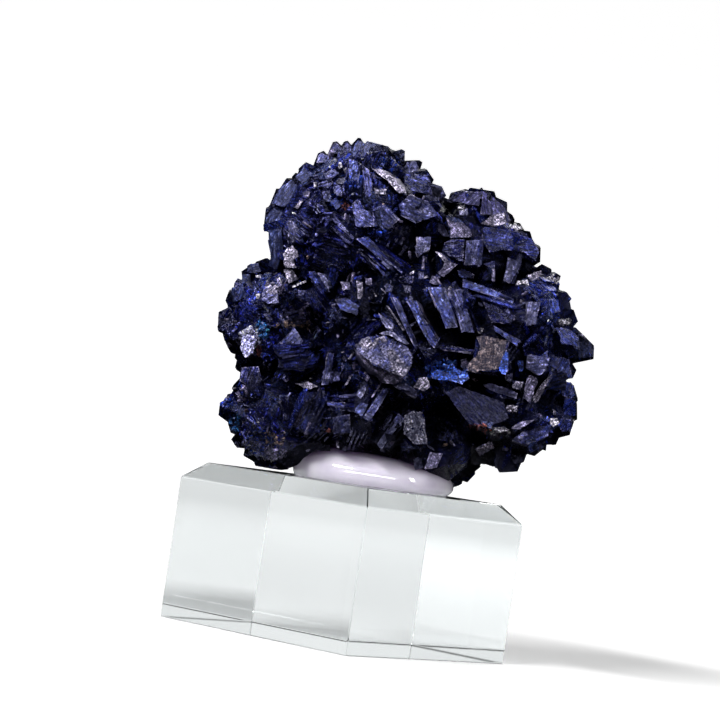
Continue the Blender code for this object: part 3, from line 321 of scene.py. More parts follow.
     0.00, 0.25, 2.5, 95, "slate_blue", 0.2),
    (((-6.0, 73.8), (-4.7, 73.0), (-4.0, 71.0), (-3.8, 68.8), (-4.5, 67.9), (-5.2, 69.8), (-5.6, 71.7)),
     0.20, 0.20, 2.5, -78, "navy", 0.1),
    (((-9.7, 70.7), (-9.1, 71.3), (-7.6, 71.5), (-7.6, 70.9), (-8.4, 70.4), (-9.5, 70.4)),
     0.00, 0.30, 2.0, 5, "grey", 0.4),
    (((-10.1, 69.9), (-9.0, 70.2), (-8.5, 69.5), (-8.5, 68.4), (-9.7, 68.6)), -0.10, 0.20, 2.0, 70, "slate", 0.2),
    (((-10.1, 67.5), (-9.4, 68.1), (-8.4, 67.6), (-8.4, 66.8), (-9.0, 66.3), (-10.0, 67.0)),
     -0.10, 0.20, 2.0, 60, "bright", 0.6),
    (((-11.7, 68.7), (-10.5, 69.0), (-10.1, 68.3), (-10.1, 67.3), (-11.1, 67.4)), -0.10, 0.10, 2.0, 60, "slate", 0.1),
    (((-12.4, 70.0), (-10.4, 71.0), (-10.1, 70.1), (-10.8, 69.4), (-12.4, 69.4)), -0.20, 0.20, 2.0, 20, "navy", 0.2),
    (((-11.7, 71.4), (-10.5, 72.6), (-9.4, 72.0), (-10.2, 71.2), (-11.2, 70.7)), -0.10, 0.30, 2.0, 35, "slate", 0.1),
    (((-6.8, 67.2), (-6.0, 68.5), (-4.6, 67.2), (-5.6, 66.3)), 0.10, 0.10, 2.0, 120, "navy", 0.1),
    (((-14.5, 68.1), (-14.0, 68.5), (-13.4, 68.4), (-13.5, 67.6), (-14.3, 67.5)),
     -0.20, 0.20, 2.0, 30, "lavender", 0.2),
    (((-11.9, 56.1), (-11.0, 56.4), (-9.2, 54.6), (-8.4, 53.2), (-9.6, 53.2), (-11.3, 54.6)), -0.10, 0.00, 2.5, -52, "slate_blue", -0.3),
    # the teeth along the top
    (((-11.5, 74.7), (-11.2, 76.0), (-10.6, 76.6), (-9.7, 76.1), (-9.0, 74.9)), 0.00, 0.35, 2.5, 80, "slate", 0.2),
    (((-9.5, 75.2), (-9.3, 76.6), (-9.0, 77.0), (-8.1, 76.5), (-7.5, 75.3)), 0.15, 0.35, 2.5, 85, "slate", 0.2),
    (((-8.1, 75.1), (-7.7, 76.8), (-7.1, 77.6), (-6.0, 77.1), (-5.1, 75.8), (-6.5, 74.8)), -0.10, 0.30, 2.5, 80,
     "rind", 0.2),
    (((-13.1, 73.1), (-13.0, 74.2), (-12.6, 74.7), (-11.5, 74.4), (-11.0, 73.2)), -0.10, 0.35, 2.5, 70, "slate", 0.2),
    (((0.5, 74.1), (0.8, 75.2), (2.2, 75.5), (2.8, 74.7), (2.6, 73.8), (1.3, 73.4)), 0.10, 0.30, 2.5, 95, "slate", 0.2),
    (((4.8, 70.8), (5.2, 72.0), (6.6, 72.0), (7.2, 71.2), (6.9, 70.2)), 0.10, 0.30, 2.5, 100, "slate", 0.2),
)

# How each finish looks: tint, how frosted, depth of its pits and of its ridges in millimetres,
# how strongly it is mottled and how much of it is chalky specks
FINISHES = {
    "white": ("white", 0.85, 0.06, 0.03, 1.2, 0.2),
    "chalky": ("silver", 0.85, 0.14, 0.03, 3.0, 0.9),
    "pitted": ("ash", 0.65, 0.14, 0.10, 3.0, 0.45),
    "silver": ("silver", 0.60, 0.06, 0.06, 2.0, 0.3),
    "lavender": ("lavender", 0.45, 0.06, 0.05, 2.0, 0.25),
    "grey": ("grey", 0.55, 0.14, 0.06, 2.8, 0.5),
    "steel": ("steel", 0.35, 0.06, 0.05, 2.3, 0.25),
    "slate": ("slate", 0.25, 0.05, 0.05, 2.6, 0.22),
    "slate_blue": ("slate", 0.25, 0.04, 0.07, 2.4, 0.2),
    "rind": ("rind", 0.35, 0.04, 0.12, 2.4, 0.1),
    "pearl": ("pearl", 0.60, 0.18, 0.02, 3.4, 0.6),
    "dome": ("dome", 0.30, 0.04, 0.07, 1.8, 0.12),
    "navy": ("navy", 0.15, 0.04, 0.05, 2.6, 0.15),
    "azure": ("azure", 0.20, 0.05, 0.05, 3.0, 0.12),
    "ink": ("ink", 0.10, 0.04, 0.04, 2.2, 0.1),
    "brown": ("brown", 0.70, 0.05, 0.08, 1.6, 0.2),
    "bright": ("bright", 0.50, 0.03, 0.03, 1.6, 0.1),
    "powder": ("powder", 0.90, 0.16, 0.01, 2.2, 0.4),
}

DARK_FINISHES = ("ink", "navy", "azure", "rind", "dome", "slate", "slate_blue", "steel")

# Parallel blades seen edge on: x, z, direction in degrees, count, length, spacing, splay, lean, tint
FANS = (
    (-7.3, 74.6, 88, 4, 5.0, 1.05, 14, 25, "slate"),
    (-10.8, 74.4, 102, 3, 3.8, 1.05, 12, 20, "slate"),
    (-7.0, 71.4, 84, 5, 4.0, 0.55, 8, -20, "cobalt"),
    (-13.9, 62.2, -36, 9, 3.6, 0.42, 4, 20, "slate"),
    (-7.9, 63.2, -35, 6, 5.2, 0.50, 3, 25, "steel"),
    (-9.0, 59.0, -8, 12, 4.2, 0.48, 3, 20, "navy"),
    (-12.3, 42.6, 16, 11, 5.2, 0.36, 5, 25, "slate"),
    (-10.6, 41.2, 44, 6, 5.0, 0.42, 8, 25, "slate"),
    (-8.4, 34.4, 72, 7, 6.4, 0.62, 4, 20, "azure"),
    (-6.4, 31.6, 46, 5, 4.0, 0.60, 4, 20, "slate"),
    (1.6, 62.2, 68, 5, 3.0, 0.90, 8, 30, "steel"),
    (12.6, 53.4, -60, 5, 6.4, 0.60, 3, 15, "slate"),
    (-3.2, 36.6, 6, 5, 4.2, 0.50, 3, 15, "navy"),
    (17.5, 56.4, -15, 4, 7.0, 0.55, 3, 20, "slate"),
    (24.6, 58.2, -32, 6, 4.4, 0.60, 5, 20, "slate"),
    (27.9, 43.0, 64, 5, 5.0, 0.60, 6, 20, "slate"),
    (-1.2, 59.2, -34, 6, 6.4, 0.60, 4, 20, "navy"),
    (25.6, 51.2, 78, 5, 4.6, 0.60, 6, 20, "slate"),
    (21.0, 48.2, 62, 4, 4.0, 0.60, 6, 20, "navy"),
    (-2.4, 48.8, 55, 6, 5.0, 0.70, 6, 20, "navy"),
    (4.4, 32.8, 62, 5, 5.0, 0.70, 4, 20, "navy"),
    (-1.0, 31.8, 75, 6, 4.0, 0.60, 8, 20, "navy"),
    (-10.0, 52.2, -48, 8, 4.0, 0.42, 4, 20, "slate"),
    (-13.0, 48.6, 18, 6, 3.6, 0.60, 8, 25, "steel"),
)

# Coloured patches on the display side: x, z, half width, half height, strength, tint
PATCHES = (
    (-19.5, 44.0, 1.8, 2.4, 0.8, "pearl"),  (-17.6, 46.0, 1.4, 1.4, 0.75, "teal"),
    (-15.5, 28.7, 2.2, 2.0, 0.75, "cobalt"), (11.6, 43.7, 3.6, 1.7, 0.9, "bright"),
    (-1.9, 74.7, 1.6, 1.3, 0.8, "cobalt"), (-9.5, 67.4, 1.3, 1.1, 0.9, "cobalt"),
    (-7.0, 71.3, 1.6, 1.5, 0.6, "cobalt"), (-7.6, 67.0, 0.8, 0.5, 0.6, "rust"),
    (-19.8, 31.0, 0.8, 1.9, 0.7, "teal"), 
    (-21.3, 34.2, 1.2, 1.0, 0.6, "cobalt"), (-17.7, 43.1, 0.6, 0.6, 0.8, "rust"),
    (-14.0, 47.4, 2.0, 0.4, 0.6, "tan"), (-11.4, 47.7, 0.9, 0.8, 0.6, "tan"),
    (-17.4, 52.6, 1.4, 0.9, 0.6, "silver"),
    (-19.3, 35.6, 0.8, 1.6, 0.6, "lavender"), 
    
    (28.5, 54.0, 1.0, 0.6, 0.8, "white"), 
    (22.6, 39.5, 0.8, 0.7, 0.8, "silver"), (26.0, 60.2, 0.8, 0.7, 0.9, "white"),
    # the patch at (19.2, 67.8) is a painted glint on the shoulder's edge
    (10.2, 69.4, 0.7, 0.6, 0.9, "white"), (19.2, 67.8, 0.9, 0.6, 0.9, "white"),
    (21.0, 35.6, 1.6, 0.5, 0.8, "white"), (-3.0, 63.5, 2.4, 1.2, 0.5, "cobalt"),
    (-16.0, 27.6, 3.2, 1.6, 0.7, "steel"), (-13.2, 27.6, 1.8, 1.2, 0.6, "lavender"),
    (18.0, 35.9, 1.8, 0.4, 0.9, "rust"), 
    (-6.3, 32.7, 0.7, 0.5, 0.7, "bright"), (-5.2, 32.2, 0.5, 0.4, 0.7, "rust"),
    (-12.0, 49.6, 2.8, 2.0, 0.25, "lavender"), (-13.5, 30.0, 1.6, 1.4, 0.35, "tan"),
)


# Regions of the display side with a tone of their own and with painted light and shade: a level above 1 paints light,
# as on the upper left and the right rim, and a level below 1 with ink paints shade, as in the low middle: x, z, half
# width, half height, level, tint mixed in, its share
TONE_AND_LIGHT_REGIONS = (
    (-12.0, 69.0, 13.0, 11.0, 2.05, "steel", 0.34), (-3.5, 70.0, 5.0, 5.0, 1.5, "cobalt", 0.35),
    (-10.0, 57.0, 4.5, 4.0, 1.6, "azure", 0.20), (-20.0, 46.0, 5.5, 8.0, 2.1, "azure", 0.30),
    (-21.5, 32.0, 4.5, 7.0, 1.6, "azure", 0.25), (30.5, 47.0, 6.5, 15.0, 2.0, "cobalt", 0.50),
    (-17.0, 53.0, 7.0, 5.0, 1.5, "azure", 0.20), (-14.0, 43.0, 6.0, 6.0, 1.5, "azure", 0.15),
    (22.0, 62.0, 4.0, 5.0, 1.3, "azure", 0.30),
    (0.0, 30.0, 12.0, 5.5, 0.40, "ink", 0.2), (14.0, 31.0, 8.0, 4.0, 0.45, "ink", 0.2),
    (-9.0, 34.5, 4.0, 4.0, 0.5, "ink", 0.2), (17.0, 39.2, 7.5, 5.0, 0.2, "navy", 0.35),
    (4.0, 32.5, 4.0, 3.5, 0.45, "ink", 0.2), (26.5, 58.0, 5.0, 6.0, 1.5, "cobalt", 0.35),
    (-7.4, 69.6, 5.5, 5.0, 1.5, "steel", 0.15), (9.8, 32.9, 3.5, 3.0, 0.5, "ink", 0.1),
    (29.5, 58.0, 4.0, 4.5, 2.0, "cobalt", 0.45), (-12.5, 36.0, 6.5, 4.5, 0.45, "ink", 0.2),
    (20.5, 38.5, 3.0, 4.0, 0.7, "ink", 0.1),
)

# Hollows between the display side's crystals, where shade is painted: x, z, half width, half height, turn in degrees
SHADED_HOLLOWS = (
    (3.4, 59.6, 3.2, 1.9, -20), (-0.8, 60.9, 1.6, 0.9, 40), (7.3, 60.2, 1.3, 2.0, 0), (5.9, 55.9, 1.6, 2.0, 0),
    (1.6, 54.5, 2.4, 0.5, 5), (-1.6, 56.2, 1.6, 2.2, -20), (3.3, 51.9, 3.4, 0.6, -58), (7.9, 52.2, 3.6, 1.5, -58),
    (11.2, 50.6, 2.2, 1.6, -55), (-1.6, 52.0, 1.9, 2.4, 0), (6.2, 49.4, 3.4, 0.5, -52), (10.8, 49.0, 3.4, 1.1, 0),
    (9.9, 57.9, 1.2, 1.1, 0), (0.6, 49.0, 1.0, 1.0, 0), (12.5, 48.4, 2.6, 0.9, 0), (13.2, 45.6, 2.2, 1.4, 0),
    (22.2, 46.4, 1.2, 2.6, 0), (18.6, 43.5, 5.0, 0.7, 0), (20.6, 41.1, 4.4, 0.6, -14), (23.6, 39.4, 1.6, 2.2, 0),
    (28.0, 41.6, 2.0, 3.0, 0), (26.4, 45.0, 1.0, 1.8, -20), (22.2, 36.9, 1.8, 1.2, 0), (21.5, 34.4, 4.6, 1.3, 15),
    (15.6, 34.6, 3.2, 1.4, 0), (4.9, 38.2, 1.9, 2.3, 0), (12.2, 35.2, 2.4, 3.6, 0), (-4.2, 39.4, 2.4, 1.8, 0),
    (5.6, 32.8, 2.2, 2.6, 55), (12.4, 28.0, 2.4, 1.8, 0), (8.9, 30.6, 2.2, 1.4, 0), (1.8, 35.6, 0.9, 2.6, 60),
    (-2.8, 33.6, 0.8, 2.0, 0), (-4.2, 30.6, 1.6, 1.2, 0), (1.6, 31.6, 2.2, 1.6, 0), (10.2, 38.6, 2.6, 1.6, 0),
    (-8.6, 40.9, 1.6, 1.4, 0), (-5.4, 42.4, 1.0, 1.8, 0), (-10.4, 47.0, 2.4, 1.4, 0), (-5.0, 48.6, 2.4, 1.2, 20),
    (-7.2, 54.0, 1.2, 1.8, 0), (-11.0, 54.4, 1.2, 1.2, 0), (8.2, 68.6, 1.2, 1.0, 0), (7.6, 64.6, 1.0, 1.6, 0),
    (2.6, 64.2, 1.4, 1.6, 0), (14.9, 59.0, 3.6, 1.0, 0), (19.2, 57.5, 3.0, 0.8, -14), (17.3, 61.6, 0.9, 1.6, 0),
    (21.6, 52.0, 2.0, 1.2, -20), (15.2, 52.6, 1.6, 1.6, 0), (24.4, 49.4, 1.6, 0.9, 0), (0.6, 41.9, 2.2, 0.5, -30),
    (-16.6, 39.6, 2.4, 1.0, 0), (-13.6, 51.2, 2.0, 0.9, 0), (-16.6, 48.9, 1.6, 0.7, 0), (-9.4, 56.9, 2.6, 0.6, -20),
)


# ---------------------------------------------------------------- meshes made of many crystals

class Growth:
    """Crystals gathered for one mesh: corners, triangles, and each corner's tint, frost, painted shade level and growth
    lines.
    """

    def __init__(self):
        self.points, self.triangles, self.lines, self.tints, self.frosts, self.shade_levels = [], [], [], [], [], []
        self.count = 0

    def add(self, points, triangles, lines, tints, frosts, painted_shade_level=1.0):
        """points and tints are per corner, in millimetres; lines are coordinates along and across growth."""
        self.shade_levels.append(np.full(len(points), painted_shade_level))
        self.points.append(points)
        self.triangles.append(triangles + self.count)
        self.lines.append(lines)
        self.tints.append(tints)
        self.frosts.append(frosts)
        self.count += len(points)

    def build(self, name, mat, relief, strength):
        """The gathered crystals as one object, with painted shade: darker in the gaps by the relief's strength and by
        each crystal's shade level, which the Tint alpha also carries.
        """
        points = np.concatenate(self.points)
        shade = 1.0 + (relief.shade(points) - 1.0) * strength
        points = points * MM
        triangles = np.concatenate(self.triangles)
        lines = np.concatenate(self.lines)
        mesh = bpy.data.meshes.new(name)
        mesh.from_pydata(points, [], triangles)
        tint = mesh.color_attributes.new("Tint", "FLOAT_COLOR", "POINT")
        colours = np.ones((len(points), 4), dtype=np.float32)
        painted_shade_level = np.concatenate(self.shade_levels)
        # Painted shade: the tints are darkened by the gap shade and the shade level, and the alpha holds the same shade
        # for the material.
        colours[:, :3] = np.concatenate(self.tints) * (shade * painted_shade_level)[:, None]
        colours[:, 3] = np.clip(shade * painted_shade_level, 0.0, 1.0)
        tint.data.foreach_set("color", colours.ravel())
        frost = mesh.attributes.new("Frost", "FLOAT", "POINT")
        frost.data.foreach_set("value", np.concatenate(self.frosts).astype(np.float32))
        growth_map = mesh.uv_layers.new(name="Growth")
        growth_map.data.foreach_set("uv", lines[triangles.ravel()].astype(np.float32).ravel())
        mesh.materials.append(mat)
        obj = bpy.data.objects.new(name, mesh)
        bpy.context.scene.collection.objects.link(obj)
        return obj


def arrays(bm):
    """Corner and triangle arrays of a bmesh, which is freed."""
    bmesh.ops.triangulate(bm, faces=bm.faces)
    bmesh.ops.recalc_face_normals(bm, faces=bm.faces)
    bm.verts.index_update()
    points = np.array([vert.co for vert in bm.verts])
    triangles = np.array([[vert.index for vert in face.verts] for face in bm.faces])
    bm.free()
    return points, triangles


# ---------------------------------------------------------------- crystal shapes, one unit long, wide and thick

def unit_bar():
    """A unit bar standing on its root: length along +Z, width along X, thickness along Y."""
    bm = bmesh.new()
    bmesh.ops.create_cube(bm, size=1.0)
    bmesh.ops.translate(bm, vec=(0.0, 0.0, 0.5), verts=bm.verts)
    return bm


def shape_top(bm, width, thickness, shift, slant):
    """Narrow, move and slant the bar's end."""
    for vert in bm.verts:
        if vert.co.z > 0.9:
            vert.co.z += slant * vert.co.x
            vert.co.x = vert.co.x * width + shift
            vert.co.y *= thickness


def chisel(rng):
    """A blade whose end closes in a crest."""
    bm = unit_bar()
    shape_top(bm, 1.0, 0.9, 0.0, 0.0)
    bmesh.ops.scale(bm, vec=(1.0, 1.0, rng.uniform(0.72, 0.86)), verts=bm.verts)
    top = max(bm.faces, key=lambda face: face.calc_center_median().z)
    crown = bmesh.ops.extrude_face_region(bm, geom=[top])["geom"]
    bmesh.ops.delete(bm, geom=[top], context="FACES")
    shift, width = rng.uniform(-0.2, 0.2), rng.uniform(0.15, 0.6)
    for vert in (item for item in crown if isinstance(item, bmesh.types.BMVert)):
        vert.co = Vector((vert.co.x * width + shift, vert.co.y * 0.5, 1.0 + shift * vert.co.x))
    return bm


def slab(rng):
    """A blade broken off at a slant, with one long edge taken off."""
    bm = unit_bar()
    shape_top(bm, rng.uniform(0.6, 0.95), rng.uniform(0.6, 1.0), rng.uniform(-0.15, 0.15), rng.uniform(-0.3, 0.3))
    long_edges = [edge for edge in bm.edges if abs(edge.verts[0].co.z - edge.verts[1].co.z) > 0.5]
    bmesh.ops.bevel(bm, geom=rng.sample(long_edges, 2), offset=0.12, offset_type="OFFSET", segments=1,
                    profile=0.5, affect="EDGES", clamp_overlap=True, material=-1)
    return bm


def spear(rng):
    """A blade drawn to a point at one side."""
    bm = unit_bar()
    shape_top(bm, rng.uniform(0.05, 0.25), rng.uniform(0.3, 0.6), rng.uniform(-0.35, 0.35), 0.0)
    return bm


def grain(rng):
    """A stubby crystal with a corner cut away."""
    bm = unit_bar()
    shape_top(bm, rng.uniform(0.5, 0.9), rng.uniform(0.5, 0.9), rng.uniform(-0.2, 0.2), rng.uniform(-0.4, 0.4))
    tip = max(bm.verts, key=lambda vert: vert.co.z)
    bmesh.ops.bevel(bm, geom=[tip], offset=0.3, offset_type="OFFSET", segments=1, profile=0.5,
                    affect="VERTICES", clamp_overlap=True, material=-1)
    return bm


def make_shapes(rng):
    """Several variants of each crystal shape, as arrays."""
    makers = {"chisel": chisel, "slab": slab, "spear": spear, "grain": grain}
    return {name: [arrays(maker(rng)) for _ in range(5)] for name, maker in makers.items()}


# ---------------------------------------------------------------- the surface they grow on

class Surface:
    """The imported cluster's skin, in millimetres, to be sampled and sighted on."""

    def __init__(self, node):
        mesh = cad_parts[node].data
        count = len(mesh.vertices)
        corners = np.empty(count * 3)
        mesh.vertices.foreach_get("co", corners)
        self.corners = corners.reshape(-1, 3) / MM
        mesh.calc_loop_triangles()
        faces = np.empty(len(mesh.loop_triangles) * 3, dtype=np.int64)
        mesh.loop_triangles.foreach_get("vertices", faces)
        self.faces = faces.reshape(-1, 3)
        a, b, c = (self.corners[self.faces[:, k]] for k in range(3))
        cross = np.cross(b - a, c - a)
        length = np.linalg.norm(cross, axis=1)
        self.areas = length / 2.0
        self.normals = cross / np.maximum(length, 1e-9)[:, None]
        self.centres = (a + b + c) / 3.0
        self.tree = BVHTree.FromPolygons([tuple(p) for p in self.corners], [tuple(f) for f in self.faces])
        self.near = KDTree(len(self.centres))
        for k, centre in enumerate(self.centres):
            self.near.insert(centre, k)
        self.near.balance()

    def sample(self, count, rng):
        """Points spread evenly over the skin, with their face normals."""
        draws = np.random.default_rng(rng.randrange(1 << 30))
        picks = draws.choice(len(self.areas), size=count, p=self.areas / self.areas.sum())
        u, v = draws.random(count), draws.random(count)
        flip = u + v > 1.0
        u[flip], v[flip] = 1.0 - u[flip], 1.0 - v[flip]
        a, b, c = (self.corners[self.faces[picks, k]] for k in range(3))
        return a + u[:, None] * (b - a) + v[:, None] * (c - a), self.normals[picks]

    def outward(self, point, reach=5.0):
        """The skin's overall direction round a point."""
        total = np.zeros(3)
        for _, k, distance in self.near.find_range(Vector(point), reach):
            total += self.normals[k] * self.areas[k] * (1.0 - distance / reach)
        return Vector(total).normalized() if np.linalg.norm(total) > 1e-6 else Vector((0.0, -1.0, 0.0))

    def height(self, point):
        """How far a point stands out of the skin."""
        foot, normal, _, distance = self.tree.find_nearest(point)
        return distance if (Vector(point) - foot).dot(normal) > 0.0 else -distance

    def front(self, x, z):
        """The y of the display side behind (x, 0, z) as seen from EYE, or None."""
        way = (Vector((x, 0.0, z)) - EYE).normalized()
        hit = self.tree.ray_cast(EYE, way)[0]
        return hit.y if hit else None


def at_depth(x, z, y):
    """The point at depth y that hides behind (x, 0, z) as seen from EYE."""
    share = (y - EYE.y) / -EYE.y
    return Vector((EYE.x + (x - EYE.x) * share, y, EYE.z + (z - EYE.z) * share))


def in_view(point):
    """Where a point shows on the plane y = 0 as seen from EYE, as (x, z)."""
    share = -EYE.y / (point[1] - EYE.y)
    return EYE.x + (point[0] - EYE.x) * share, EYE.z + (point[2] - EYE.z) * share


class PaintedGapShade:
    """How deep a point lies in the gaps of the display side or of the back, to darken it there with painted shade."""

    def __init__(self, surface):
        self.step, self.low = 0.8, np.array((LIMIT_LOW.x - 2.0, LIMIT_LOW.z + 20.0))
        self.size = (int((LIMIT_HIGH.x - self.low[0] + 4.0) / self.step), int((LIMIT_HIGH.z - self.low[1] + 4.0) / self.step))
        front = np.full(self.size, np.nan)
        back = np.full(self.size, np.nan)
        for i in range(self.size[0]):
            for k in range(self.size[1]):
                x, z = self.low + np.array((i, k)) * self.step
                for field, start, way in ((front, -60.0, 1.0), (back, 60.0, -1.0)):
                    hit = surface.tree.ray_cast(Vector((x, start, z)), Vector((0.0, way, 0.0)))[0]
                    if hit:
                        field[i, k] = hit.y
        self.front, self.back = self.smooth(front), self.smooth(back)
        self.front_lean, self.back_lean = self.lean(self.front), self.lean(self.back)

    def smooth(self, field):
        """The field averaged over a few millimetres, ignoring its empty places."""
        known = np.where(np.isnan(field), 0.0, 1.0)
        total = np.where(np.isnan(field), 0.0, field)
        offsets = np.arange(-4, 5)
        weights = np.exp(-(offsets * self.step / 1.9) ** 2 / 2.0)
        for axis in (0, 1):
            known = sum(w * np.roll(known, o, axis=axis) for o, w in zip(offsets, weights))
            total = sum(w * np.roll(total, o, axis=axis) for o, w in zip(offsets, weights))
        return total / np.maximum(known, 1e-3)

    def lean(self, field):
        """How much longer than square to the skin a depth reads along the sight."""
        along, up = np.gradient(field, self.step)
        return np.minimum(4.0, np.sqrt(1.0 + along ** 2 + up ** 2))

    def cells(self, points):
        """The field cells the points lie in."""
        spot = (points[:, (0, 2)] - self.low) / self.step
        return (np.clip(spot[:, 0].astype(int), 0, self.size[0] - 1),
                np.clip(spot[:, 1].astype(int), 0, self.size[1] - 1))

    def steepness(self, points):
        """The lean of the side each point belongs to."""
        i, k = self.cells(points)
        near_front = points[:, 1] - self.front[i, k] < self.back[i, k] - points[:, 1]
        return np.where(near_front, self.front_lean[i, k], self.back_lean[i, k])

    def shade(self, points):
        """A painted shade level for each point: near 1 on the crests and small in the gaps, held up a little on steep
        rims.
        """
        i, k = self.cells(points)
        below = np.minimum((points[:, 1] - self.front[i, k]) / self.front_lean[i, k],
                           (self.back[i, k] - points[:, 1]) / self.back_lean[i, k])
        rim = 0.55 * np.clip((self.steepness(points) - 1.3) / 1.5, 0.0, 1.0)
        return np.clip(np.exp(-1.1 * (below + 0.1)), np.maximum(rim, 0.07), 1.3)


# ---------------------------------------------------------------- tints

def stain(point, facing, tint, rng):
    """A crystal's tint, changed where it stands in one of the coloured patches."""
    if facing > -0.1:
        return tint
    x, z = in_view(point)
    for patch_x, patch_z, half_x, half_z, strength, name in PATCHES:
        reach = ((x - patch_x) / half_x) ** 2 + ((z - patch_z) / half_z) ** 2
        if reach < 1.0 and rng.random() < strength * (1.25 - reach):
            return TINTS[name]
    return tint


def regional_tone_and_light(point, tint):
    """A tint changed by the regions its place belongs to: partly a tone of their own, partly painted light and painted
    shade.
    """
    if point[1] > 8.0:
        return tint
    x, z = in_view(point)
    for mid_x, mid_z, half_x, half_z, level, name, share in TONE_AND_LIGHT_REGIONS:
        weight = 1.0 - ((x - mid_x) / half_x) ** 2 - ((z - mid_z) / half_z) ** 2
        if weight > 0.0:
            weight = min(1.0, 1.6 * weight)
            mixed = TINTS[name]
            tint = tuple(t * (1.0 + (level - 1.0) * weight) * (1.0 - share * weight) + m * share * weight
                         for t, m in zip(tint, mixed))
    return tint


def hollow_shade_level(point):
    """The painted shade level of a place of the display side in the hollows: 1 outside them, small in their middle."""
    if point[1] > 6.0:
        return 1.0
    x, z = in_view(point)
    level = 1.0
    for mid_x, mid_z, half_x, half_z, turn in SHADED_HOLLOWS:
        off_x, off_z = x - mid_x, z - mid_z
        if abs(off_x) + abs(off_z) > 6.0:
            continue
        c, n = math.cos(math.radians(turn)), math.sin(math.radians(turn))
        reach = ((off_x * c + off_z * n) / half_x) ** 2 + ((off_z * c - off_x * n) / half_z) ** 2
        level = min(level, 0.08 + 0.92 * min(1.0, 0.75 * reach) ** 2)
    return level


def vary(tint, rng, spread):
    """A tint made lighter or darker at random."""
    level = math.exp(rng.gauss(0.0, spread))
    return tuple(min(1.0, channel * level) for channel in tint)


def pick(rng, weights):
    """One name from a mapping of names to weights."""
    return rng.choices(list(weights), list(weights.values()))[0]


# ---------------------------------------------------------------- growing crystals

def inside_limits(points):
    """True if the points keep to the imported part's box and above the block."""
    low, high = points.min(axis=0), points.max(axis=0)
    return (low[0] > LIMIT_LOW.x and high[0] < LIMIT_HIGH.x and low[1] > LIMIT_LOW.y
            and high[1] < LIMIT_HIGH.y and high[2] < LIMIT_HIGH.z and low[2] > BLOCK_TOP + 0.1)


class Guard:
    """Keeps the display faces and the fans from being hidden by other crystals."""

    def __init__(self, surface, places):
        self.shields = []
        for (outline, *_), place_of in zip(PLATES, places):
            self.shield(outline, 0.95, place_of[4])
        for x, z, angle, count, length, spacing, *_ in FANS:
            along = np.array((math.cos(math.radians(angle)), math.sin(math.radians(angle)))) * length / 2.0
            wide = np.array((-along[1], along[0])) / np.linalg.norm(along) * count * spacing / 2.0
            middle = np.array((x, z))
            corners = [middle - along - wide, middle + along - wide, middle + along + wide, middle - along + wide]
            self.shield([tuple(corner) for corner in corners], 0.75, surface.front(*middle))
        for x, z, half_x, half_z, strength, _ in PATCHES:
            if strength > 0.65:
                corners = [(x + half_x, z), (x, z + half_z), (x - half_x, z), (x, z - half_z)]
                self.shield(corners, 1.0, surface.front(x, z))

    def shield(self, outline, share, depth):
        points = np.array(outline)
        middle = points.mean(axis=0)
        points = middle + (points - middle) * share
        if depth is not None:
            self.shields.append((middle, np.abs(points - middle).max(), points, depth))

    def hidden_by(self, placed):
        """True if a crystal's corners would stand in front of a shield."""
        share = -EYE.y / (placed[:, 1] - EYE.y)
        view_x = EYE.x + (placed[:, 0] - EYE.x) * share
        view_z = EYE.z + (placed[:, 2] - EYE.z) * share
        mid_x, mid_z, near = view_x.mean(), view_z.mean(), placed[:, 1].min()
        for middle, radius, outline, depth in self.shields:
            reach = radius + 2.5
            if abs(mid_x - middle[0]) > reach or abs(mid_z - middle[1]) > reach or near > depth + 0.6:
                continue
            x0, z0 = outline[:, 0][:, None], outline[:, 1][:, None]
            x1, z1 = np.roll(x0, -1, axis=0), np.roll(z0, -1, axis=0)
            spans = (z0 > view_z) != (z1 > view_z)
            rise = np.where(z1 == z0, 1.0, z1 - z0)
            crossings = spans & (view_x < x0 + (view_z - z0) / rise * (x1 - x0))
            if (crossings.sum(axis=0) % 2).any():
                return True
        return False


class Planter:
    """Stands crystals on the skin, unless they would stick out too far or hide a display face."""

    def __init__(self, surface, guard, rng):
        self.surface, self.guard, self.rng = surface, guard, rng

    def plant(self, growth, shape, root, axis, across, size, tint, proud, guarded=True, in_patch=False):
        """size is width, thickness and length; proud is how far any corner may stand out."""
        axis = axis.normalized()
        across = (across - axis * across.dot(axis)).normalized()
        points, triangles = shape
        turn = np.array(Matrix((across, axis.cross(across), axis)))
        placed = (points * size) @ turn + np.array(root)
        if not inside_limits(placed):
            return False
        if any(self.surface.height(point) > proud for point in placed[points[:, 2] > 0.6]):
            return False
        if guarded and self.guard.hidden_by(placed):
            return False
        if any(self.surface.front(*in_view(corner)) is None for corner in placed):
            return False
        lines = np.stack([points[:, 0] * size[0] + points[:, 1] * size[1], points[:, 2] * size[2]], axis=1)
        lines = lines + np.array((self.rng.uniform(0, 50), self.rng.uniform(0, 50)))
        # Painted light and shade: each crystal is darker towards its root, some tips are brightened as painted
        # highlights, and its sides that turn towards LIGHT_WAY are lighter, the others darker.
        lit = [1.0 if turn[k] @ LIGHT_WAY > 0.0 else -1.0 for k in (0, 1)]
        level = 0.40 + 0.85 * np.clip(points[:, 2], 0.0, 1.0) ** 2
        level = np.where(points[:, 2] > 0.93, level * self.rng.choice((0.8, 0.8, 1.0, 2.0)), level)
        # Painted shade in the hollows, left out for a few crystals.
        painted_shade_level = hollow_shade_level(placed.mean(axis=0)) if self.rng.random() > 0.04 else 1.0
        if not in_patch:
            tint = regional_tone_and_light(placed.mean(axis=0), tint)
        level = (level * (1.0 + 0.5 * lit[0] * points[:, 0]) * (1.0 + 1.3 * lit[1] * points[:, 1]))[:, None]
        growth.add(placed, triangles, lines, np.minimum(np.array(tint)[None, :] * level, 0.8), np.full(len(points), frost_for(tint)),
                   painted_shade_level)
        return True


def frost_for(tint):
    """Paler crystals are more frosted."""
    return min(0.9, 0.08 + 1.6 * sum(tint) / 3.0)


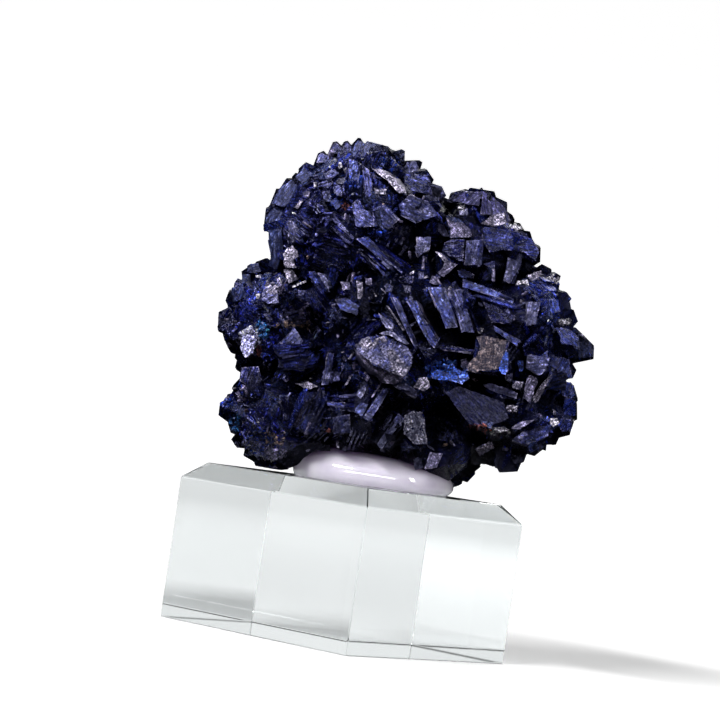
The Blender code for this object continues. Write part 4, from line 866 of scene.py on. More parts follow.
def facing_plane(outline, surface):
    """The slopes of the plane that fits the skin behind an outline."""
    rows, depths = [], []
    middle = np.mean(outline, axis=0)
    for corner in np.array(outline):
        for share in (0.0, 0.45, 0.85):
            x, z = middle + (corner - middle) * share
            y = surface.front(x, z)
            if y is not None:
                rows.append((1.0, x - middle[0], z - middle[1]))
                depths.append(y)
    fitted = np.linalg.lstsq(np.array(rows), np.array(depths), rcond=None)[0]
    return max(-1.2, min(1.2, fitted[1])), max(-1.2, min(1.2, fitted[2]))


def face_place(row, surface):
    """Middle x and z, slopes and middle depth of a display face, so that little of the skin comes through it."""
    outline, slope_x, slope_z = row[:3]
    if slope_x is None:
        slope_x, slope_z = facing_plane(outline, surface)
    mid_x = sum(p[0] for p in outline) / len(outline)
    mid_z = sum(p[1] for p in outline) / len(outline)
    depths = []
    for x, z in outline:
        for share in (0.0, 0.5, 0.9):
            off_x, off_z = (x - mid_x) * share, (z - mid_z) * share
            y = surface.front(mid_x + off_x, mid_z + off_z)
            if y is not None:
                depths.append(y - slope_x * off_x - slope_z * off_z)
    reach = max(math.hypot(x - mid_x, z - mid_z) for x, z in outline)
    y = float(np.quantile(depths, 0.08 if reach < 2.2 else 0.2)) if depths else 0.0
    return mid_x, mid_z, slope_x, slope_z, y - 0.12 - (row[6] if len(row) > 6 else 0.0)


def mottle(place, seed):
    """Blotches, specks and fine grit of a face, about -1 to 1."""
    offset = Vector((seed, 0.0, 0.0))
    return (noise.noise(place * 0.9 + offset) + 0.9 * noise.noise(place * 2.2 - offset)
            + 0.7 * noise.noise(place * 4.6 + offset))


def plate_shape(row, place_of, rng):
    """A display face: a tabular crystal with growth ridges, pits and chipped edges, with painted light and shade:
    lighter towards its upper left, painted highlights and shade along its rim, and its deeper walls painted ink as
    shade.
    """
    outline, _, _, depth, grain_angle, finish = row[:6]
    tint_name, frost, pits, ridges, contrast, chalk = FINISHES[finish]
    mid_x, mid_z, slope_x, slope_z, y = place_of
    normal = Vector((slope_x, -1.0, slope_z)).normalized()
    middle = at_depth(mid_x, mid_z, y)
    bm = bmesh.new()
    corners = [bm.verts.new(at_depth(x, z, y + slope_x * (x - mid_x) + slope_z * (z - mid_z))) for x, z in outline]
    face = bm.faces.new(corners)
    face.normal_update()
    if face.normal.y > 0.0:
        bmesh.ops.reverse_faces(bm, faces=[face])
    grain_way = Vector((math.cos(math.radians(grain_angle)), 0.0, math.sin(math.radians(grain_angle))))
    grain_way = (grain_way - normal * grain_way.dot(normal)).normalized()
    cross_way = normal.cross(grain_way)
    reach = max((vert.co - middle).length for vert in bm.verts)
    for way, step in ((cross_way, 0.20), (grain_way, 0.30)):
        cut = -reach
        while cut < reach:
            bmesh.ops.bisect_plane(bm, geom=bm.verts[:] + bm.edges[:] + bm.faces[:], dist=1e-4,
                                   plane_co=middle + way * (cut + rng.uniform(-0.06, 0.06)), plane_no=way)
            cut += step
    rim = {vert for vert in bm.verts if vert.is_boundary}
    seed = rng.uniform(0.0, 100.0)
    for vert in bm.verts:
        u, v = (vert.co - middle).dot(cross_way), (vert.co - middle).dot(grain_way)
        ridge = noise.noise(Vector((u * 1.9, v * 0.12, seed)))
        step_up = math.floor(noise.noise(Vector((u * 0.45, v * 0.35, seed + 9.0))) * 5.0) / 5.0
        pit = min(0.0, noise.noise(Vector((u * 2.4, v * 2.4, seed + 20.0))) + 0.02)
        lift = ridge * ridges + step_up * (pits + ridges) + pit * pits * 3.0
        if vert in rim:
            inward = (middle - vert.co).normalized()
            vert.co += inward * max(0.0, noise.noise(vert.co * 1.3 + Vector((seed, 0, 0)))) * 0.35
        vert.co += normal * lift
    rim_places = {(round(vert.co.x, 4), round(vert.co.z, 4)) for vert in rim}
    base = bm.faces[:]
    walls = bmesh.ops.extrude_face_region(bm, geom=base)["geom"]
    back = [item for item in walls if isinstance(item, bmesh.types.BMVert)]
    sink = middle + Vector((0.0, depth + 1.5, 0.0))
    taper = rng.uniform(0.50, 0.85)
    shift = Vector((rng.uniform(-1.0, 1.0), 0.0, rng.uniform(-1.0, 1.0))) * reach * (1.0 - taper) * 0.7
    for vert in back:
        flat = Vector((vert.co.x, sink.y, vert.co.z))
        vert.co = sink + shift + (flat - sink) * taper
    bmesh.ops.delete(bm, geom=[item for item in walls if isinstance(item, bmesh.types.BMFace)], context="FACES_ONLY")
    points, triangles = arrays(bm)
    offset = points - np.array(middle)
    lines = np.stack([offset @ np.array(cross_way), offset @ np.array(grain_way)], axis=1) + seed
    span = np.ptp(lines, axis=0) / 2.0
    centre = lines.min(axis=0) + span
    left = (-1.0 if cross_way.x > 0.0 else 1.0, -1.0 if grain_way.z < 0.0 else 1.0)
    base_tint = Vector(TINTS[tint_name])
    chalk_tint = Vector(TINTS["white"]) * 0.5 + base_tint * 0.5
    tints = []
    # Painted shade: corners deeper than this on the walls take the ink tint.
    shaded_back_y = middle.y + 0.6 * depth
    for point, (u, v) in zip(points, lines):
        if point[1] > shaded_back_y:
            tints.append(TINTS["ink"])
            continue
        place = Vector(point)
        streak = noise.noise(Vector((u * 2.6, v * 0.22, seed)))
        tone = mottle(place, seed) + 0.6 * streak
        # Painted light: the face is lighter towards its upper left and darker towards its lower right.
        lit = left[0] * (u - centre[0]) / span[0], left[1] * (v - centre[1]) / span[1]
        tint = base_tint * min(3.2, math.exp(contrast * tone * 0.50 + 0.35 * lit[0] + 0.22 * lit[1] + rng.gauss(0.0, 0.16)))
        tint = tint.lerp(chalk_tint, min(0.9, chalk * max(0.0, tone * 2.4 - 0.35)))
        if finish == "slate_blue":
            tint = Vector((tint[0] * 0.75, tint[1] * 0.95, tint[2] * 1.3))
        if finish == "pitted" and noise.noise(place * 0.35 + Vector((seed, seed, 0.0))) > 0.18:
            tint = tint.lerp(Vector(TINTS["cobalt"]), 0.6)
        # Painted highlight and shade on the rim: pale mixes in silver, most on the lit side, and darkens the rim where
        # it falls below zero.
        if finish != "rind" and (round(point[0], 4), round(point[2], 4)) in rim_places:
            pale = 2.2 * noise.noise(place * 0.7 + Vector((0.0, seed, 0.0))) + 0.40 + 0.5 * lit[0] + 0.2 * lit[1]
            tint = tint.lerp(Vector(TINTS["silver"]), 0.8 * max(0.0, min(1.0, pale)) * rng.uniform(0.5, 1.0))
            tint = tint * min(1.0, max(0.2, 1.0 + pale))
        if finish in DARK_FINISHES:
            tint = regional_tone_and_light(point, tint)
        tints.append(stain(point, -1.0, tuple(tint), rng))
    return points, triangles, lines, np.array(tints), np.full(len(points), frost)


def grow_plates(places, rng):
    growth = Growth()
    for row, place_of in zip(PLATES, places):
        # Ink faces take a shade level of 0.2: painted shade that makes them near black and dulls their specular.
        growth.add(*plate_shape(row, place_of, rng), 0.2 if row[5] == "ink" else 1.0)
    return growth


def fan_plane(surface, x, z, angle, half_long, half_wide):
    """Depth of a fan as a plane fitted to the skin behind it: y at its middle, slope along and across."""
    turned = math.radians(angle)
    rows, depths = [], []
    for i in range(-2, 3):
        for k in range(-2, 3):
            u, v = half_long * i / 2.5, half_wide * k / 2.5
            y = surface.front(x + u * math.cos(turned) - v * math.sin(turned),
                              z + u * math.sin(turned) + v * math.cos(turned))
            if y is not None:
                rows.append((1.0, u, v))
                depths.append(y)
    rows, depths = np.array(rows), np.array(depths)
    plane = np.linalg.lstsq(rows, depths, rcond=None)[0]
    plane[0] += np.quantile(depths - rows @ plane, 0.3)
    return plane


def grow_fans(surface, planter, shapes, rng):
    """Parallel blades seen edge on, as the display side shows them."""
    growth = Growth()
    for x, z, angle, count, length, spacing, splay, lean, tint_name in FANS:
        plane = fan_plane(surface, x, z, angle, length / 2.0, count * spacing / 2.0)
        slope_along, slope_across = (max(-0.9, min(0.9, slope)) for slope in plane[1:])
        for k in range(count):
            share = (k + 0.5) / count - 0.5
            turned = math.radians(angle + share * splay + rng.gauss(0.0, 1.0))
            flat_way = Vector((math.cos(turned), 0.0, math.sin(turned)))
            side_way = Vector((-flat_way.z, 0.0, flat_way.x))
            pieces = rng.randint(1, 3)
            start = -length * rng.uniform(0.40, 0.52)
            stagger = rng.gauss(0.0, 0.14)
            for _ in range(pieces):
                run = length / pieces * rng.uniform(0.8, 1.15)
                along, spread = start + run / 2.0, share * count * spacing + rng.uniform(-0.06, 0.06)
                start += run * 0.9
                view_x = x + side_way.x * spread + flat_way.x * along
                view_z = z + side_way.z * spread + flat_way.z * along
                y = plane[0] + slope_along * along + slope_across * spread + stagger + rng.gauss(0.0, 0.05)
                long_way = (flat_way + Vector((0.0, slope_along + rng.uniform(-0.05, 0.05), 0.0))).normalized()
                tilt = Matrix.Rotation(math.radians(lean + rng.uniform(-6, 6)), 3, long_way)
                deep = tilt @ Vector((0.0, 1.0, 0.0))
                broad = rng.uniform(2.2, 3.2)
                middle = at_depth(view_x, view_z, y - 0.15) + deep * broad * 0.5
                tint = vary(TINTS[tint_name if rng.random() < 0.55 else pick(rng, EDGE_TINTS)], rng, 0.6)
                planter.plant(growth, rng.choice(shapes["slab"] + shapes["chisel"]), middle - long_way * run * 0.5,
                              long_way, deep, (broad, spacing * rng.uniform(0.40, 0.80), run), tint, 2.4, False)
    return growth


def spread_points(surface, rng, count):
    """Points over the skin that keep their distance, closer together towards -X."""
    kept, squares = [], {}
    points, _ = surface.sample(count, rng)
    for point in points:
        apart = 1.55 + 0.9 * min(1.0, max(0.0, (point[0] + 12.0) / 22.0))
        square = tuple(int(math.floor(c / 2.5)) for c in point)
        near = [other for i in (-1, 0, 1) for j in (-1, 0, 1) for k in (-1, 0, 1)
                for other in squares.get((square[0] + i, square[1] + j, square[2] + k), ())]
        if all(np.sum((point - other) ** 2) > apart * apart for other in near):
            squares.setdefault(square, []).append(point)
            kept.append((Vector(point), apart))
    return kept


def shared_way(point, fineness, offset):
    """A direction that neighbouring crystals share."""
    return noise.noise_vector(point * fineness + Vector((offset, 3.1 * offset, 7.7)))


EDGE_TINTS = {"ink": 4, "navy": 3, "steel": 4, "lavender": 1}
GROUND_TINTS = {"ink": 12, "navy": 34, "azure": 16, "rind": 26, "slate": 14, "steel": 3}
BOOK_TINTS = {"ink": 28, "navy": 34, "azure": 12, "slate": 17, "steel": 6, "lavender": 2}
GRAIN_TINTS = {"ink": 36, "navy": 30, "azure": 5, "slate": 12, "steel": 7, "lavender": 4, "silver": 2.5, "white": 0.7, "tan": 0.7}


def grow_books(surface, planter, shapes, rng):
    """Bundles of thin parallel blades all over the skin, opened a little like a book."""
    growth = Growth()
    for point, apart in spread_points(surface, rng, 14000):
        outward = surface.outward(point, 3.0)
        blocky = min(1.0, max(0.0, (point.x + 2.0) / 12.0))
        if abs(outward.y) < 0.45 and rng.random() < 0.3 + 0.6 * blocky:
            continue
        wild = Vector((rng.gauss(0, 1), rng.gauss(0, 1), rng.gauss(0, 1)))
        axis = (outward + 0.75 * shared_way(point, 0.16, 2.0) + 0.20 * wild).normalized()
        other = Vector((rng.gauss(0, 1), rng.gauss(0, 1), rng.gauss(0, 1)))
        stack = axis.cross(shared_way(point, 0.10, 5.0) + 0.22 * other)
        if stack.length < 1e-3:
            continue
        stack.normalize()
        across = stack.cross(axis)
        thickness = apart * rng.uniform(0.10 + 0.04 * blocky, 0.22 + 0.2 * blocky)
        gap = thickness * rng.uniform(1.10, 1.6)
        sheets = max(2, round(apart * rng.uniform(0.9, 1.35) / gap))
        width = apart * rng.uniform(0.9, 1.7)
        facing = 0.25 + 0.75 * abs(outward.y)
        stand = rng.uniform(0.0, 0.7) * facing
        splay = rng.uniform(0.0, 0.09)
        slant = rng.uniform(-0.25, 0.25)
        tone = math.exp(0.9 * noise.noise(point * 0.22))
        tint_base = tuple(channel * tone for channel in TINTS[pick(rng, BOOK_TINTS)])
        for k in range(sheets):
            offset = k - (sheets - 1) / 2.0
            way = (axis + stack * offset * splay).normalized()
            place = point + stack * offset * gap + across * rng.gauss(0.0, 0.12) * width
            foot = surface.tree.find_nearest(place)[0]
            rise = stand + slant * offset * gap + rng.gauss(0.0, 0.08)
            length = rng.uniform(2.2, 3.2)
            planter.plant(growth, rng.choice(shapes["slab"] + shapes["chisel"] + shapes["spear"][:2]),
                          foot + way * (rise - length), way, across,
                          (width * rng.uniform(0.7, 1.0), thickness, length),
                          vary(tint_base, rng, 0.5 if rng.random() < 0.72 else 1.2), 0.12 + 0.95 * facing * facing)
    return growth


def grow_grains(surface, planter, shapes, rng, count):
    """Small crystals scattered over the skin, for glitter."""
    growth = Growth()
    points, normals = surface.sample(count, rng)
    for point, normal in zip(points, normals):
        place, outward = Vector(point), Vector(normal)
        rim_share = max(0.0, 1.0 - abs(outward.y) / 0.5)
        if rng.random() < min(1.0, max(0.0, (place.x + 2.0) / 12.0)) * (0.5 + 0.4 * rim_share):
            continue
        if rng.random() < 0.8 * rim_share:
            continue
        wild = Vector((rng.gauss(0, 1), rng.gauss(0, 1), rng.gauss(0, 1)))
        axis = (outward + 0.9 * shared_way(place, 0.3, 4.0) + 0.3 * wild).normalized()
        across = axis.cross(shared_way(place, 0.3, 9.0) + 0.4 * wild)
        if across.length < 1e-3:
            continue
        width = rng.uniform(0.3, 0.95)
        length = width * rng.uniform(1.2, 2.4)
        tint = stain(point, outward.y, vary(TINTS[pick(rng, GRAIN_TINTS)], rng, 0.4), rng)
        planter.plant(growth, rng.choice(shapes["grain"] + shapes["slab"] + shapes["spear"]),
                      place + axis * (rng.uniform(0.1, 0.75) * (0.25 + 0.75 * abs(outward.y)) - length), axis, across,
                      (width, width * rng.uniform(0.25, 0.6), length), tint, 0.75 - 0.5 * rim_share)
    return growth


def grow_patches(surface, planter, shapes, rng):
    """Powdery patches of fine coloured grains on the display side."""
    growth = Growth()
    for x, z, half_x, half_z, strength, name in PATCHES:
        for _ in range(int(half_x * half_z * 26.0 * strength) + 4):
            angle, ring = rng.uniform(0.0, 2.0 * math.pi), math.sqrt(rng.random())
            view_x, view_z = x + half_x * ring * math.cos(angle), z + half_z * ring * math.sin(angle)
            y = surface.front(view_x, view_z)
            if y is None:
                continue
            axis = Vector((rng.gauss(0.0, 0.5), -1.0, rng.gauss(0.25, 0.5))).normalized()
            across = axis.cross(Vector((rng.gauss(0, 1), 0.0, rng.gauss(0, 1))))
            width = rng.uniform(0.25, 0.75)
            length = width * rng.uniform(0.8, 1.3)
            tint = vary(TINTS[name], rng, 0.5)
            planter.plant(growth, rng.choice(shapes["grain"]),
                          at_depth(view_x, view_z, y) + axis * (rng.uniform(0.05, 0.35) - length), axis, across,
                          (width, width * rng.uniform(0.6, 1.0), length), tint, 1.2, False, True)
    return growth


# ---------------------------------------------------------------- materials

def new_material(name):
    mat = bpy.data.materials.new(name)
    mat.use_nodes = True
    return mat, mat.node_tree, mat.node_tree.nodes["Principled BSDF"]


def node(tree, kind, **inputs):
    """A shader node with some of its inputs set. Names use _ for a space."""
    made = tree.nodes.new(kind)
    for key, value in inputs.items():
        made.inputs[key.replace("_", " ")].default_value = value
    return made


def growth_group():
    """Marks of growth on a crystal face: fine lines along it, pits, cracks and blotches."""
    group = bpy.data.node_groups.new("crystal growth", "ShaderNodeTree")
    for name, kind in (("Lines", "NodeSocketVector"), ("Frost", "NodeSocketFloat")):
        group.interface.new_socket(name=name, in_out="INPUT", socket_type=kind)
    for name in ("Height", "Shade", "Speckle", "Fleck"):
        group.interface.new_socket(name=name, in_out="OUTPUT", socket_type="NodeSocketFloat")
    enter = group.nodes.new("NodeGroupInput")
    leave = group.nodes.new("NodeGroupOutput")
    stretch = node(group, "ShaderNodeMapping", Scale=(3.6, 0.4, 1.0))
    stria = node(group, "ShaderNodeTexNoise", Scale=1.0, Detail=3.0, Roughness=0.65)
    pits = node(group, "ShaderNodeTexNoise", Scale=3.1, Detail=3.0, Roughness=0.75)
    blotch = node(group, "ShaderNodeTexNoise", Scale=1.1, Detail=4.0, Roughness=0.7, Distortion=0.6)
    cracks = node(group, "ShaderNodeTexVoronoi", Scale=0.55)
    cracks.feature = "DISTANCE_TO_EDGE"
    link = group.links.new

    def stage_of(source, low, high, bottom, top):
        spread = node(group, "ShaderNodeMapRange")
        for key, value in (("From Min", low), ("From Max", high), ("To Min", bottom), ("To Max", top)):
            spread.inputs[key].default_value = value
        link(source, spread.inputs["Value"])
        return spread.outputs["Result"]

    def combined(operation, first, second):
        sum_of = node(group, "ShaderNodeMath")
        sum_of.operation = operation
        link(first, sum_of.inputs[0])
        link(second, sum_of.inputs[1])
        return sum_of.outputs["Value"]

    link(enter.outputs["Lines"], stretch.inputs["Vector"])
    link(stretch.outputs["Vector"], stria.inputs["Vector"])
    warp = node(group, "ShaderNodeVectorMath")
    warp.operation = "MULTIPLY_ADD"
    warp.inputs[1].default_value = (1.6, 1.6, 1.6)
    link(blotch.outputs["Color"], warp.inputs[0])
    link(enter.outputs["Lines"], warp.inputs[2])
    link(warp.outputs["Vector"], cracks.inputs["Vector"])
    for texture in (pits, blotch):
        link(enter.outputs["Lines"], texture.inputs["Vector"])
    broad = stage_of(blotch.outputs["Fac"], 0.38, 0.64, 0.25, 1.8)
    dull = stage_of(enter.outputs["Frost"], 0.1, 0.6, 0.0, 1.0)

    def between(clear, frosted):
        mix = node(group, "ShaderNodeMix")
        mix.data_type = "FLOAT"
        link(dull, mix.inputs["Factor"])
        link(clear, mix.inputs["A"])
        link(frosted, mix.inputs["B"])
        return mix.outputs["Result"]

    fine = between(stage_of(pits.outputs["Fac"], 0.40, 0.53, 0.22, 1.2), stage_of(pits.outputs["Fac"], 0.45, 0.58, 0.10, 2.1))
    lined = between(stage_of(stria.outputs["Fac"], 0.45, 0.56, 0.10, 2.3), stage_of(stria.outputs["Fac"], 0.42, 0.58, 0.5, 1.5))
    split = stage_of(cracks.outputs["Distance"], 0.0, 0.06, 0.45, 1.0)
    shade = combined("MULTIPLY", combined("MULTIPLY", broad, fine), combined("MULTIPLY", lined, split))
    depth = node(group, "ShaderNodeMix")
    depth.data_type = "FLOAT"
    link(enter.outputs["Frost"], depth.inputs["Factor"])
    link(stria.outputs["Fac"], depth.inputs["A"])
    link(pits.outputs["Fac"], depth.inputs["B"])
    height = combined("ADD", depth.outputs["Result"], stage_of(cracks.outputs["Distance"], 0.0, 0.05, -0.25, 0.0))
    # Fleck: pale specks, partly chalk and partly painted sparkle.
    link(stage_of(pits.outputs["Fac"], 0.60, 0.67, 0.0, 1.0), leave.inputs["Fleck"])
    link(height, leave.inputs["Height"])
    link(shade, leave.inputs["Shade"])
    link(pits.outputs["Fac"], leave.inputs["Speckle"])
    return group


def azurite_material(name, group, relief, fleck_tint):
    """Glossy deep blue crystal, paler and duller where it is frosted; the painted shade in the Tint alpha dims its
    flecks and its specular level.
    """
    mat, tree, shader = new_material(name)
    shader.inputs["IOR"].default_value = 1.73
    shader.inputs["Metallic"].default_value = 0.0
    shader.inputs["Specular Tint"].default_value = (0.56, 0.57, 1.0, 1.0)
    lines = tree.nodes.new("ShaderNodeUVMap")
    lines.uv_map = "Growth"
    tint = node(tree, "ShaderNodeAttribute")
    tint.attribute_name = "Tint"
    frost = node(tree, "ShaderNodeAttribute")
    frost.attribute_name = "Frost"
    marks = tree.nodes.new("ShaderNodeGroup")
    marks.node_tree = group
    scale = node(tree, "ShaderNodeVectorMath")
    scale.operation = "SCALE"
    rough = node(tree, "ShaderNodeMapRange")
    rough.inputs["To Min"].default_value = 0.08
    rough.inputs["To Max"].default_value = 0.50
    rough_mix = node(tree, "ShaderNodeMath")
    rough_mix.operation = "MULTIPLY_ADD"
    rough_mix.inputs[1].default_value = 0.22
    bump = node(tree, "ShaderNodeBump", Strength=relief, Distance=0.0003)
    link = tree.links.new
    link(lines.outputs["UV"], marks.inputs["Lines"])
    link(frost.outputs["Fac"], marks.inputs["Frost"])
    link(tint.outputs["Color"], scale.inputs["Vector"])
    link(marks.outputs["Shade"], scale.inputs["Scale"])
    flecked = node(tree, "ShaderNodeVectorMath")
    flecked.operation = "MULTIPLY_ADD"
    flecked.inputs[1].default_value = fleck_tint
    # Painted shade: flecks and specular level are scaled down by the shade in the Tint alpha.
    unshaded_fleck = node(tree, "ShaderNodeMath")
    unshaded_fleck.operation = "MULTIPLY"
    link(marks.outputs["Fleck"], unshaded_fleck.inputs[0])
    link(tint.outputs["Alpha"], unshaded_fleck.inputs[1])
    shaded_specular = node(tree, "ShaderNodeMath")
    shaded_specular.operation = "MULTIPLY"
    shaded_specular.inputs[1].default_value = 0.5
    link(tint.outputs["Alpha"], shaded_specular.inputs[0])
    link(shaded_specular.outputs["Value"], shader.inputs["Specular IOR Level"])
    link(unshaded_fleck.outputs["Value"], flecked.inputs[0])
    link(scale.outputs["Vector"], flecked.inputs[2])
    link(flecked.outputs["Vector"], shader.inputs["Base Color"])
    link(frost.outputs["Fac"], rough.inputs["Value"])
    link(marks.outputs["Speckle"], rough_mix.inputs[0])
    link(rough.outputs["Result"], rough_mix.inputs[2])
    link(rough_mix.outputs["Value"], shader.inputs["Roughness"])
    link(marks.outputs["Height"], bump.inputs["Height"])
    link(bump.outputs["Normal"], shader.inputs["Normal"])
    return mat


def putty_material():
    mat, tree, shader = new_material("putty")
    shader.inputs["IOR"].default_value = 1.5
    shader.inputs["Coat Weight"].default_value = 1.0
    shader.inputs["Coat IOR"].default_value = 1.7
    shader.inputs["Coat Roughness"].default_value = 0.04
    shader.inputs["Subsurface Weight"].default_value = 0.7
    shader.inputs["Subsurface Radius"].default_value = (1.0, 0.9, 1.0)
    shader.inputs["Subsurface Scale"].default_value = 0.007
    place = tree.nodes.new("ShaderNodeTexCoord")
    cloud = node(tree, "ShaderNodeTexNoise", Scale=220.0, Detail=3.0, Roughness=0.5)
    ramp = tree.nodes.new("ShaderNodeValToRGB")
    ramp.color_ramp.elements[0].position = 0.3
    ramp.color_ramp.elements[0].color = (*srgb(208, 200, 222), 1.0)
    ramp.color_ramp.elements[1].position = 0.7
    ramp.color_ramp.elements[1].color = (*srgb(228, 221, 238), 1.0)
    rough = node(tree, "ShaderNodeMapRange")
    rough.inputs["To Min"].default_value = 0.02
    rough.inputs["To Max"].default_value = 0.07
    bump = node(tree, "ShaderNodeBump", Strength=0.05, Distance=0.0004)
    link = tree.links.new
    link(place.outputs["Object"], cloud.inputs["Vector"])
    link(cloud.outputs["Fac"], ramp.inputs["Fac"])
    link(ramp.outputs["Color"], shader.inputs["Base Color"])
    link(cloud.outputs["Fac"], rough.inputs["Value"])
    link(rough.outputs["Result"], shader.inputs["Roughness"])
    link(cloud.outputs["Fac"], bump.inputs["Height"])
    link(bump.outputs["Normal"], shader.inputs["Normal"])
    return mat


def acrylic_material():
    mat, tree, shader = new_material("acrylic")
    shader.inputs["Base Color"].default_value = (0.985, 0.99, 0.99, 1.0)
    shader.inputs["IOR"].default_value = 1.49
    shader.inputs["Transmission Weight"].default_value = 1.0
    shader.inputs["Metallic"].default_value = 0.0
    place = tree.nodes.new("ShaderNodeTexCoord")
    smear = node(tree, "ShaderNodeTexNoise", Scale=140.0, Detail=4.0, Roughness=0.6)
    rough = node(tree, "ShaderNodeMapRange")
    rough.inputs["From Min"].default_value = 0.45
    rough.inputs["From Max"].default_value = 0.75
    rough.inputs["To Min"].default_value = 0.0
    rough.inputs["To Max"].default_value = 0.05
    depth = node(tree, "ShaderNodeVolumeAbsorption", Color=(0.50, 0.57, 0.58, 1.0), Density=11.0)
    link = tree.links.new
    link(depth.outputs["Volume"], tree.nodes["Material Output"].inputs["Volume"])
    link(place.outputs["Object"], smear.inputs["Vector"])
    link(smear.outputs["Fac"], rough.inputs["Value"])
    link(rough.outputs["Result"], shader.inputs["Roughness"])
    return mat


def stage_material():
    """A white backdrop that glows, brighter away from the middle and dimmer overhead, with four dark seams in its glow
    that line the clear block's edges.
    """
    mat, tree, shader = new_material("stage")
    shader.inputs["Base Color"].default_value = (0.90, 0.90, 0.90, 1.0)
    shader.inputs["Roughness"].default_value = 0.9
    shader.inputs["Specular IOR Level"].default_value = 0.0
    shader.inputs["Emission Strength"].default_value = 1.0
    place = tree.nodes.new("ShaderNodeTexCoord")
    apart = tree.nodes.new("ShaderNodeSeparateXYZ")
    away = node(tree, "ShaderNodeVectorMath")
    away.operation = "LENGTH"
    glow = node(tree, "ShaderNodeMapRange")
    glow.inputs["From Min"].default_value = 0.12
    glow.inputs["From Max"].default_value = 0.9
    glow.inputs["To Min"].default_value = 0.12
    glow.inputs["To Max"].default_value = 0.72
    dim = node(tree, "ShaderNodeMapRange")
    dim.inputs["From Min"].default_value = 0.35
    dim.inputs["From Max"].default_value = 1.1
    dim.inputs["To Min"].default_value = 1.0
    dim.inputs["To Max"].default_value = 0.12
    both = node(tree, "ShaderNodeMath")
    both.operation = "MULTIPLY"
    link = tree.links.new

    def worked(operation, first, second):
        step = node(tree, "ShaderNodeMath")
        step.operation = operation
        for socket, source in zip(step.inputs, (first, second)):
            if isinstance(source, float):
                socket.default_value = source
            elif source is not None:
                link(source, socket)
        return step.outputs["Value"]

    x, y = apart.outputs["X"], apart.outputs["Y"]
    squares = worked("ADD", worked("MULTIPLY", x, x), worked("MULTIPLY", y, y))
    diagonal = worked("DIVIDE", worked("ABSOLUTE", worked("MULTIPLY", x, y), None), squares)
    seam = node(tree, "ShaderNodeMapRange")
    seam.inputs["From Min"].default_value = 0.47
    seam.inputs["From Max"].default_value = 0.49
    seam.inputs["To Min"].default_value = 0.0
    seam.inputs["To Max"].default_value = 0.85
    far = node(tree, "ShaderNodeMapRange")
    far.inputs["From Min"].default_value = 0.30
    far.inputs["From Max"].default_value = 0.60
    link(diagonal, seam.inputs["Value"])
    link(squares, far.inputs["Value"])
    between = worked("SUBTRACT", 1.0, worked("MULTIPLY", seam.outputs["Result"], far.outputs["Result"]))
    link(place.outputs["Object"], away.inputs[0])
    link(place.outputs["Object"], apart.inputs["Vector"])
    link(away.outputs["Value"], glow.inputs["Value"])
    link(apart.outputs["Z"], dim.inputs["Value"])
    link(glow.outputs["Result"], both.inputs[0])
    link(dim.outputs["Result"], both.inputs[1])
    link(worked("MULTIPLY", both.outputs["Value"], between), shader.inputs["Emission Color"])
    return mat


# ---------------------------------------------------------------- the three pieces

def link_object(name, bm, mat):
    mesh = bpy.data.meshes.new(name)
    bm.to_mesh(mesh)
    bm.free()
    mesh.materials.append(mat)
    obj = bpy.data.objects.new(name, mesh)
    bpy.context.scene.collection.objects.link(obj)
    return obj


def declare(piece, node_name):
    """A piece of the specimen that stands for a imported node."""
    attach(piece, "root")
    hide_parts(node_name)


def make_ground(surface, mat, relief, rng):
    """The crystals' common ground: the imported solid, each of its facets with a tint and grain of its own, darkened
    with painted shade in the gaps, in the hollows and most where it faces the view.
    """
    bm = bmesh.new()
    corners = [bm.verts.new(point) for point in surface.corners]
    for a, b, c in surface.faces:
        bm.faces.new((corners[a], corners[b], corners[c]))
    bmesh.ops.remove_doubles(bm, verts=bm.verts, dist=0.002)
    bm.normal_update()
    tint_layer = bm.loops.layers.float_color.new("Tint")
    frost_layer = bm.faces.layers.float.new("Frost")
    growth_layer = bm.loops.layers.uv.new("Growth")
    facets = {}
    bm.verts.index_update()
    spots = np.array([vert.co for vert in bm.verts])
    # Painted shade: darker where the skin faces the view than on steep rims, in the gaps and in the hollows; the alpha
    # carries it to the material.
    steep = np.clip((relief.steepness(spots) - 1.0) / 1.5, 0.0, 1.0)
    shade = relief.shade(spots) * (0.30 + 1.0 * steep) * np.array([hollow_shade_level(spot) for spot in spots])
    for face in bm.faces:
        normal = face.normal
        key = (round(normal.x, 1), round(normal.y, 1), round(normal.z, 1), round(normal.dot(face.verts[0].co)))
        if key not in facets:
            way = normal.cross(Vector((rng.gauss(0, 1), rng.gauss(0, 1), rng.gauss(0, 1)))).normalized()
            facets[key] = vary(TINTS[pick(rng, GROUND_TINTS)], rng, 0.3), way, rng.uniform(0.0, 50.0)
        tint, way, offset = facets[key]
        face[frost_layer] = frost_for(tint)
        for loop in face.loops:
            loop[tint_layer] = (*(channel * shade[loop.vert.index] for channel in tint), min(1.0, shade[loop.vert.index]))
            place = loop.vert.co
            loop[growth_layer].uv = (place.dot(way) + offset, place.dot(normal.cross(way)))
    for vert in bm.verts:
        vert.co -= vert.normal * 0.12
    bmesh.ops.scale(bm, vec=(MM, MM, MM), verts=bm.verts)
    declare(link_object("azurite_ground", bm, mat), CLUSTER)


